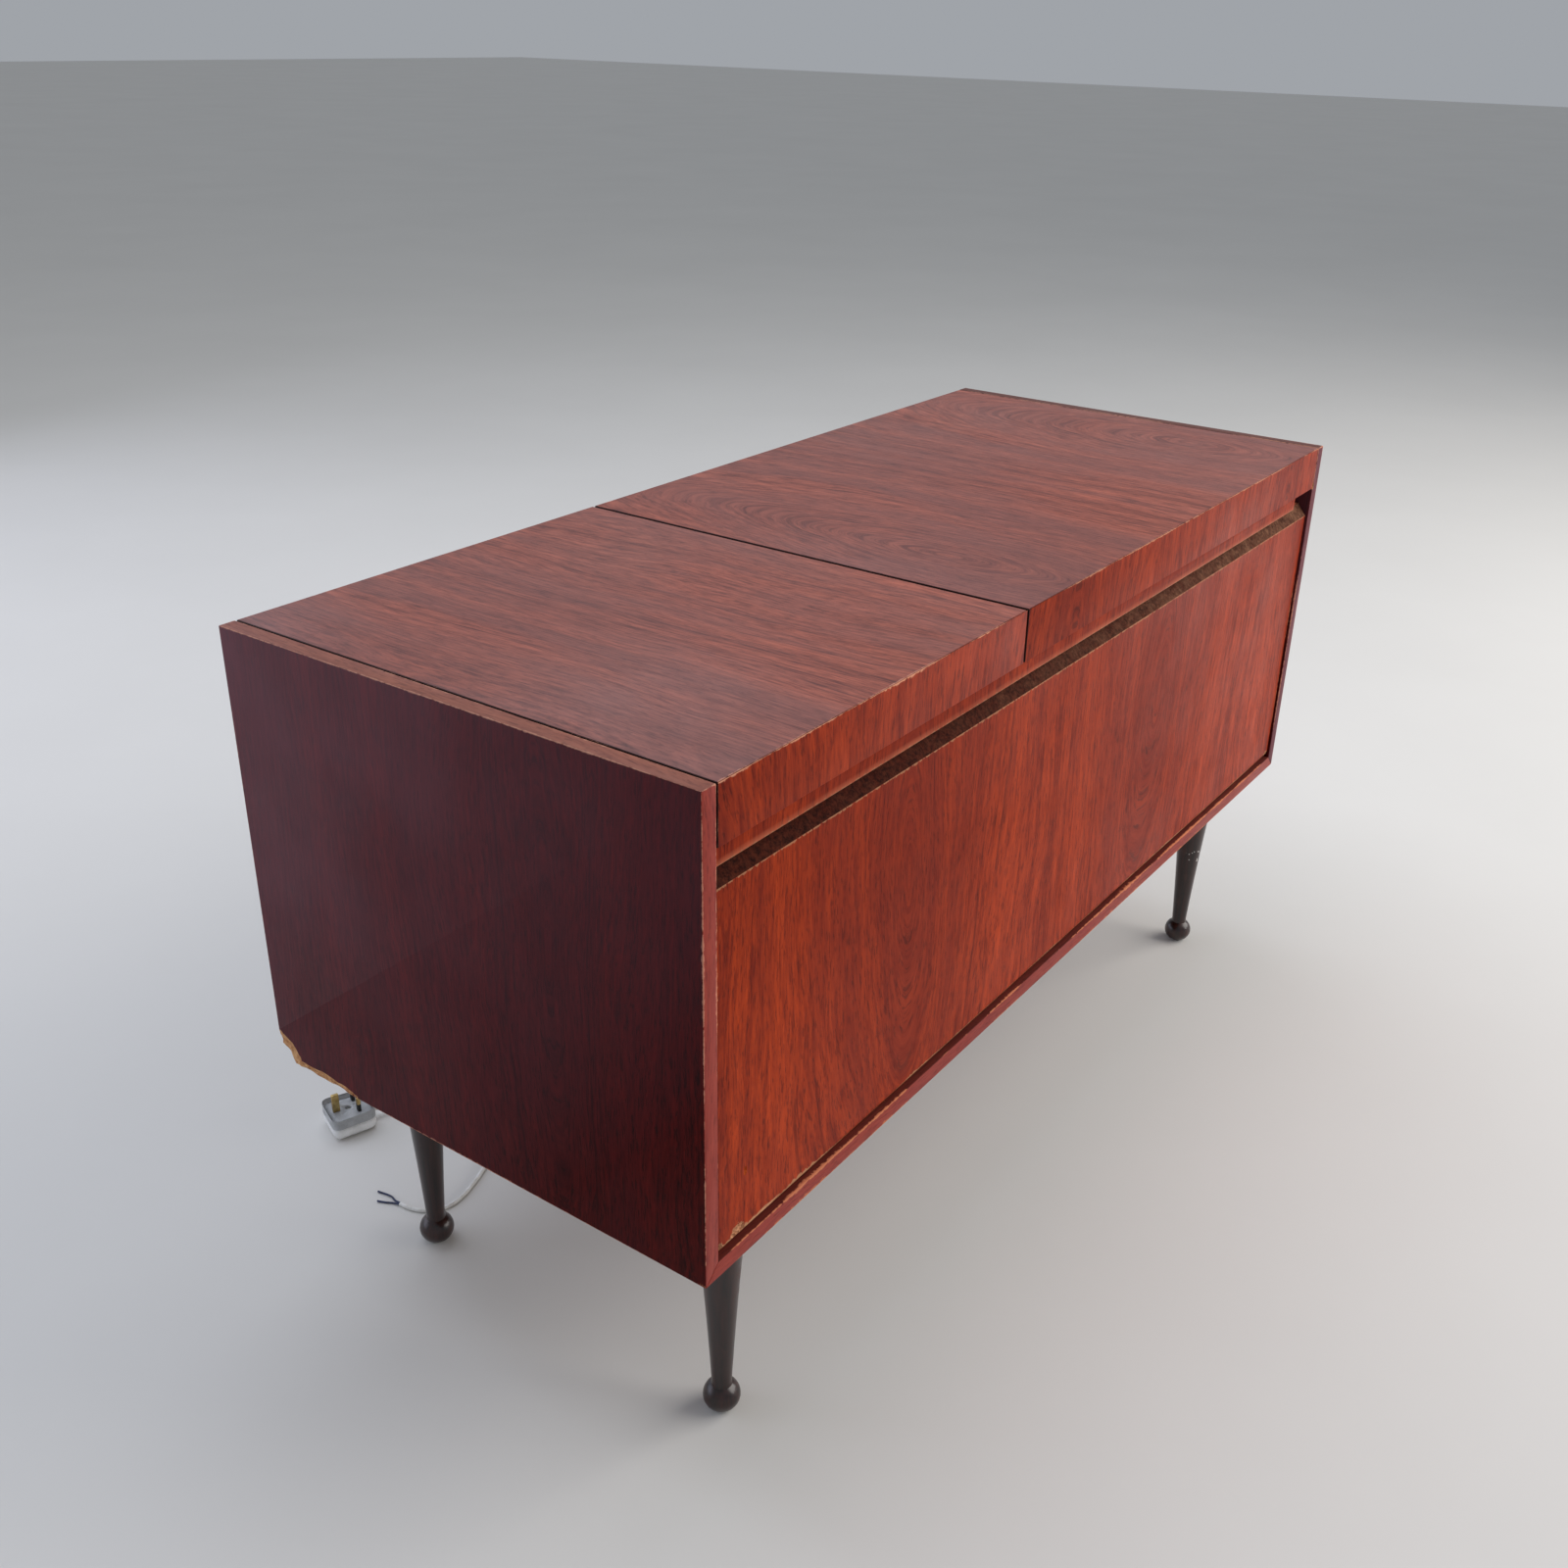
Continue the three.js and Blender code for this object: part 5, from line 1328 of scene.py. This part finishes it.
def make_grommet(node, name, bore, ribs):
    """A flanged ring round a lead, in millimetres. Ribs make it a tapered strain relief."""
    low, high = node_box(node)
    middle = Vector(((low.x + high.x) / 2, low.y, (low.z + high.z) / 2))
    depth = (high.y - low.y) / MM
    profile = [(bore, 0.0), (9.6, 0.0), (10.0, 0.4), (10.0, 2.0), (7.7, 2.2), (7.7, 6.8), (10.6, 6.8),
               (11.0, 7.2), (10.4, 8.2), (9.0, depth)]
    for i in range(ribs):
        at = depth + RIB_STEP * i
        radius = SLEEVE_RADIUS - SLEEVE_TAPER * i
        root = radius - RIB_HEIGHT
        profile += [(radius, at + 0.6), (radius, at + 1.6), (root, at + 1.9), (root, at + RIB_STEP)]
    profile += [(bore, profile[-1][1] + 0.2)]
    ring = lathe(name, [(radius * MM, z * MM) for radius, z in profile], (0, 0), 40)
    pick(ring, "FACE", lambda face: len(face.vertices) > 4)
    bpy.ops.mesh.bridge_edge_loops()
    bpy.ops.mesh.select_all(action="SELECT")
    bpy.ops.mesh.normals_make_consistent(inside=False)
    bpy.ops.object.mode_set(mode="OBJECT")
    along_rear(ring, middle)
    return ring


grommet_rubber = black_rubber("grommet_rubber", tone(26, 25, 25), tone(70, 66, 62))
strain_relief = make_grommet("mains_gland", "mains_strain_relief", bore=3.75, ribs=7)
give(strain_relief, grommet_rubber)
install(strain_relief, "case", "rubber", "mains_gland")
grommet = make_grommet("flex_gland", "flex_grommet", bore=2.25, ribs=0)
give(grommet, grommet_rubber)
install(grommet, "case", "rubber", "flex_gland")

# ---------------------------------------------------------------- plug
# A square three-pin plug lying on its back: a white moulded cover, a paler grey base held by one screw, two
# line pins with black sleeves and a brass earth pin. The base's grey is painted shade on its white face.
PLUG_ROUNDING = 9 * MM
PLUG_NARROWS = 0.88  # the lead's end, as a share of the far end
PLUG_BASE_HEIGHT = 6.3 * MM
LINE_PINS_ALONG = 8 * MM
PIN_PITCH = 22.2 * MM
SCREW_WELL_AT = -1 * MM
SCREW_WELL_DEPTH = 2.5 * MM
FUSE_WELL_DEPTH = 0.6 * MM


def place_on_plug(piece):
    piece.data.transform(Matrix.Translation(PLUG_MIDDLE) @ Matrix.Rotation(PLUG_TURN, 4, "Z"))
    piece.data.update()


def plug_shell(name, low_z, high_z, size, foot_round, face_round):
    """A square shell, rounded along every edge, that narrows towards the lead. Its foot and its
    face are rounded again, by widths in millimetres."""
    half = size / 2
    shell = board(name, (-half, -half, low_z), (half, half, high_z))
    for vertex in shell.data.vertices:
        if vertex.co.x > 0:
            vertex.co.y *= PLUG_NARROWS
    bpy.ops.object.mode_set(mode="EDIT")
    bpy.ops.mesh.select_mode(type="EDGE")
    bpy.ops.mesh.select_all(action="SELECT")
    bpy.ops.mesh.bevel(offset=PLUG_ROUNDING, segments=8)
    for z, width in ((low_z, foot_round), (high_z, face_round)):
        pick(shell, "EDGE", lambda edge: all(abs(end.z - z) < 0.01 * MM for end in edge_ends(shell, edge)))
        bpy.ops.mesh.bevel(offset=width * MM, segments=5)
    bpy.ops.object.mode_set(mode="OBJECT")
    bpy.ops.object.shade_smooth_by_angle(angle=math.radians(40))
    return shell


low, high = node_box("plug_cover")
FACE_Z = high.z + PLUG_BASE_HEIGHT
plug_white = white_pvc("plug_white", tone(222, 222, 220), tone(244, 244, 243))
# The pin face's grey is painted shade on the plug's white plastic.
plug_face_shade = white_pvc("plug_pin_face", tone(146, 148, 150), tone(178, 180, 182))
cover = plug_shell("plug_moulded_cover", low.z, high.z, PLUG_SIZE, 4.5, 0.5)
give(cover, plug_white)
place_on_plug(cover)
install(cover, "case", "white_plastic", "plug_cover")

base = plug_shell("plug_pin_base", high.z + FIT, FACE_Z, PLUG_SIZE, 0.5, 1.2)
give(base, plug_face_shade)
screw_well = lathe(
    "screw_well", [(3.6 * MM, FACE_Z - SCREW_WELL_DEPTH), (3.6 * MM, FACE_Z + MM)], (SCREW_WELL_AT, 0), 24
)
fuse_well = board(
    "fuse_well", (5 * MM, -3.5 * MM, FACE_Z - FUSE_WELL_DEPTH), (22 * MM, 3.5 * MM, FACE_Z + MM)
)
for well in (screw_well, fuse_well):
    give(well, plug_face_shade)
break_away(base, screw_well, fuse_well)
place_on_plug(base)
install(base, "case", "plug_base", "plug_base")

pin_brass = plated("plug_pin_brass", tone(206, 180, 122), tone(150, 118, 70), 0.22)
sleeve_black = black_rubber("pin_sleeve", tone(20, 20, 22), tone(46, 46, 48))


def plug_pin(name, along, across, size, sleeved):
    """A flat pin that stands on the base's face. Its size runs along, across and out of the plug."""
    size_along, size_across, length = (value * MM for value in size)
    pin = board(
        name,
        (along - size_along / 2, across - size_across / 2, FACE_Z - FIT),
        (along + size_along / 2, across + size_across / 2, FACE_Z + length),
    )
    sleeve_top = FACE_Z + length * 0.52
    bpy.ops.object.mode_set(mode="EDIT")
    score(sleeve_top)
    bpy.ops.object.mode_set(mode="OBJECT")
    soften(pin, 0.7, 3)
    give(pin, pin_brass, sleeve_black)
    if sleeved:
        paint_faces(pin, 1, lambda normal, centre: centre.z < sleeve_top)
    place_on_plug(pin)
    install(pin, "case", "plug_base")
    return pin


LINE_PIN = (4, 6.3, 17.7)
EARTH_PIN = (8, 4, 22.6)
plug_pins = [
    plug_pin("plug_line_pin_a", LINE_PINS_ALONG, PIN_PITCH / 2, LINE_PIN, True),
    plug_pin("plug_line_pin_b", LINE_PINS_ALONG, -PIN_PITCH / 2, LINE_PIN, True),
    plug_pin("plug_earth_pin", LINE_PINS_ALONG - PIN_PITCH, 0, EARTH_PIN, False),
]
plug_screw = make_screw("plug_screw", zinc)
plug_screw.data.transform(Matrix.Translation((SCREW_WELL_AT, 0, FACE_Z - SCREW_WELL_DEPTH + 0.2 * MM)))
place_on_plug(plug_screw)
install(plug_screw, "case", "plug_base")
line_length(mains_lead)
line_length(thin_flex)

# ---------------------------------------------------------------- record deck
# A cream-enamelled platter with a ribbed rubber mat turns on the left deck board. The pick-up arm
# stands on a turned pillar behind its right edge.
enamel, tree, surface = shader("cream_enamel")
aged = blotches(tree, 24.0, 6.0, 0.6, 0.38, 0.66)
set_finish(
    surface,
    Base_Color=mix(tree, aged, tone(214, 204, 176), tone(190, 178, 146)),
    Roughness=span(tree, aged, 0.0, 1.0, 0.28, 0.42),
    Coat_Weight=0.3,
)
bump(tree, surface, noise(tree, own_coords(tree), 600.0, 2.0), 0.05, 0.1)
chrome = plated("spindle_steel", tone(200, 200, 200), tone(150, 150, 150), 0.18)

low, high = node_box("platter")
deck_middle = (low + high) / 2
PLATTER_RADIUS = (high.x - low.x) / 2
HUB_RADIUS = 8 * MM
SPINDLE_RADIUS = 3.6 * MM
mat_low, mat_high = node_box("platter_mat")
plate_z = mat_low.z - FIT  # the top of the plate, under the mat
web_z = low.z + 11.7 * MM  # the underside, inside the rim
rim = PLATTER_RADIUS
platter = lathe(
    "deck_platter",
    [(HUB_RADIUS, low.z), (HUB_RADIUS, web_z), (rim - 5 * MM, web_z),
     (rim - 3 * MM, low.z + 12.4 * MM), (rim - 0.6 * MM, low.z + 15 * MM),
     (rim, low.z + 16.5 * MM), (rim, plate_z - 1.1 * MM),
     (rim - 1.2 * MM, plate_z), (rim - 3 * MM, plate_z),
     (SPINDLE_RADIUS, plate_z), (SPINDLE_RADIUS, high.z - 3 * MM), (2.4 * MM, high.z - 0.8 * MM),
     (1.0 * MM, high.z)],
    deck_middle, 96,
)
give(platter, enamel, chrome)
paint_faces(platter, 1, lambda normal, centre: centre.z > mat_low.z)
install(platter, "platter", "cream_enamel", "platter")

GROOVE_PITCH = 7 * MM
MAT_HOLE = 4.2 * MM
LABEL_RADIUS = 48 * MM  # the sunk middle, where a record's label lies
mat_top = mat_high.z
mat_rim = PLATTER_RADIUS - 2 * MM
rings = [(MAT_HOLE, mat_low.z), (mat_rim - 0.4 * MM, mat_low.z), (mat_rim, mat_low.z + MM),
         (mat_rim - 0.6 * MM, mat_top - 0.5 * MM), (mat_rim - 1.4 * MM, mat_top)]
ring_radius = PLATTER_RADIUS - 9 * MM
while ring_radius > LABEL_RADIUS + 4 * MM:
    rings += [(ring_radius, mat_top), (ring_radius - 0.8 * MM, mat_top - 0.9 * MM),
              (ring_radius - 1.8 * MM, mat_top - 0.9 * MM), (ring_radius - 2.6 * MM, mat_top)]
    ring_radius -= GROOVE_PITCH
rings += [(LABEL_RADIUS, mat_top), (LABEL_RADIUS - MM, mat_top - 1.2 * MM), (MAT_HOLE, mat_top - 1.2 * MM)]
deck_mat = lathe("ribbed_deck_mat", rings, deck_middle, 96)
give(deck_mat, black_rubber("mat_rubber", tone(24, 23, 23), tone(58, 55, 52)))
install(deck_mat, "platter", "rubber", "platter_mat")

pillar = softened_copy("arm_pillar", "pickup_pillar", 0.8, 3)
give(pillar, enamel)
install(pillar, "case", "cream_enamel", "arm_pillar")
arm = softened_copy("pickup_arm", "deck_pickup_arm", 1.4, 3)
give(arm, enamel)
install(arm, "pickup_arm", "cream_enamel", "pickup_arm")

bpy.ops.object.select_all(action="DESELECT")
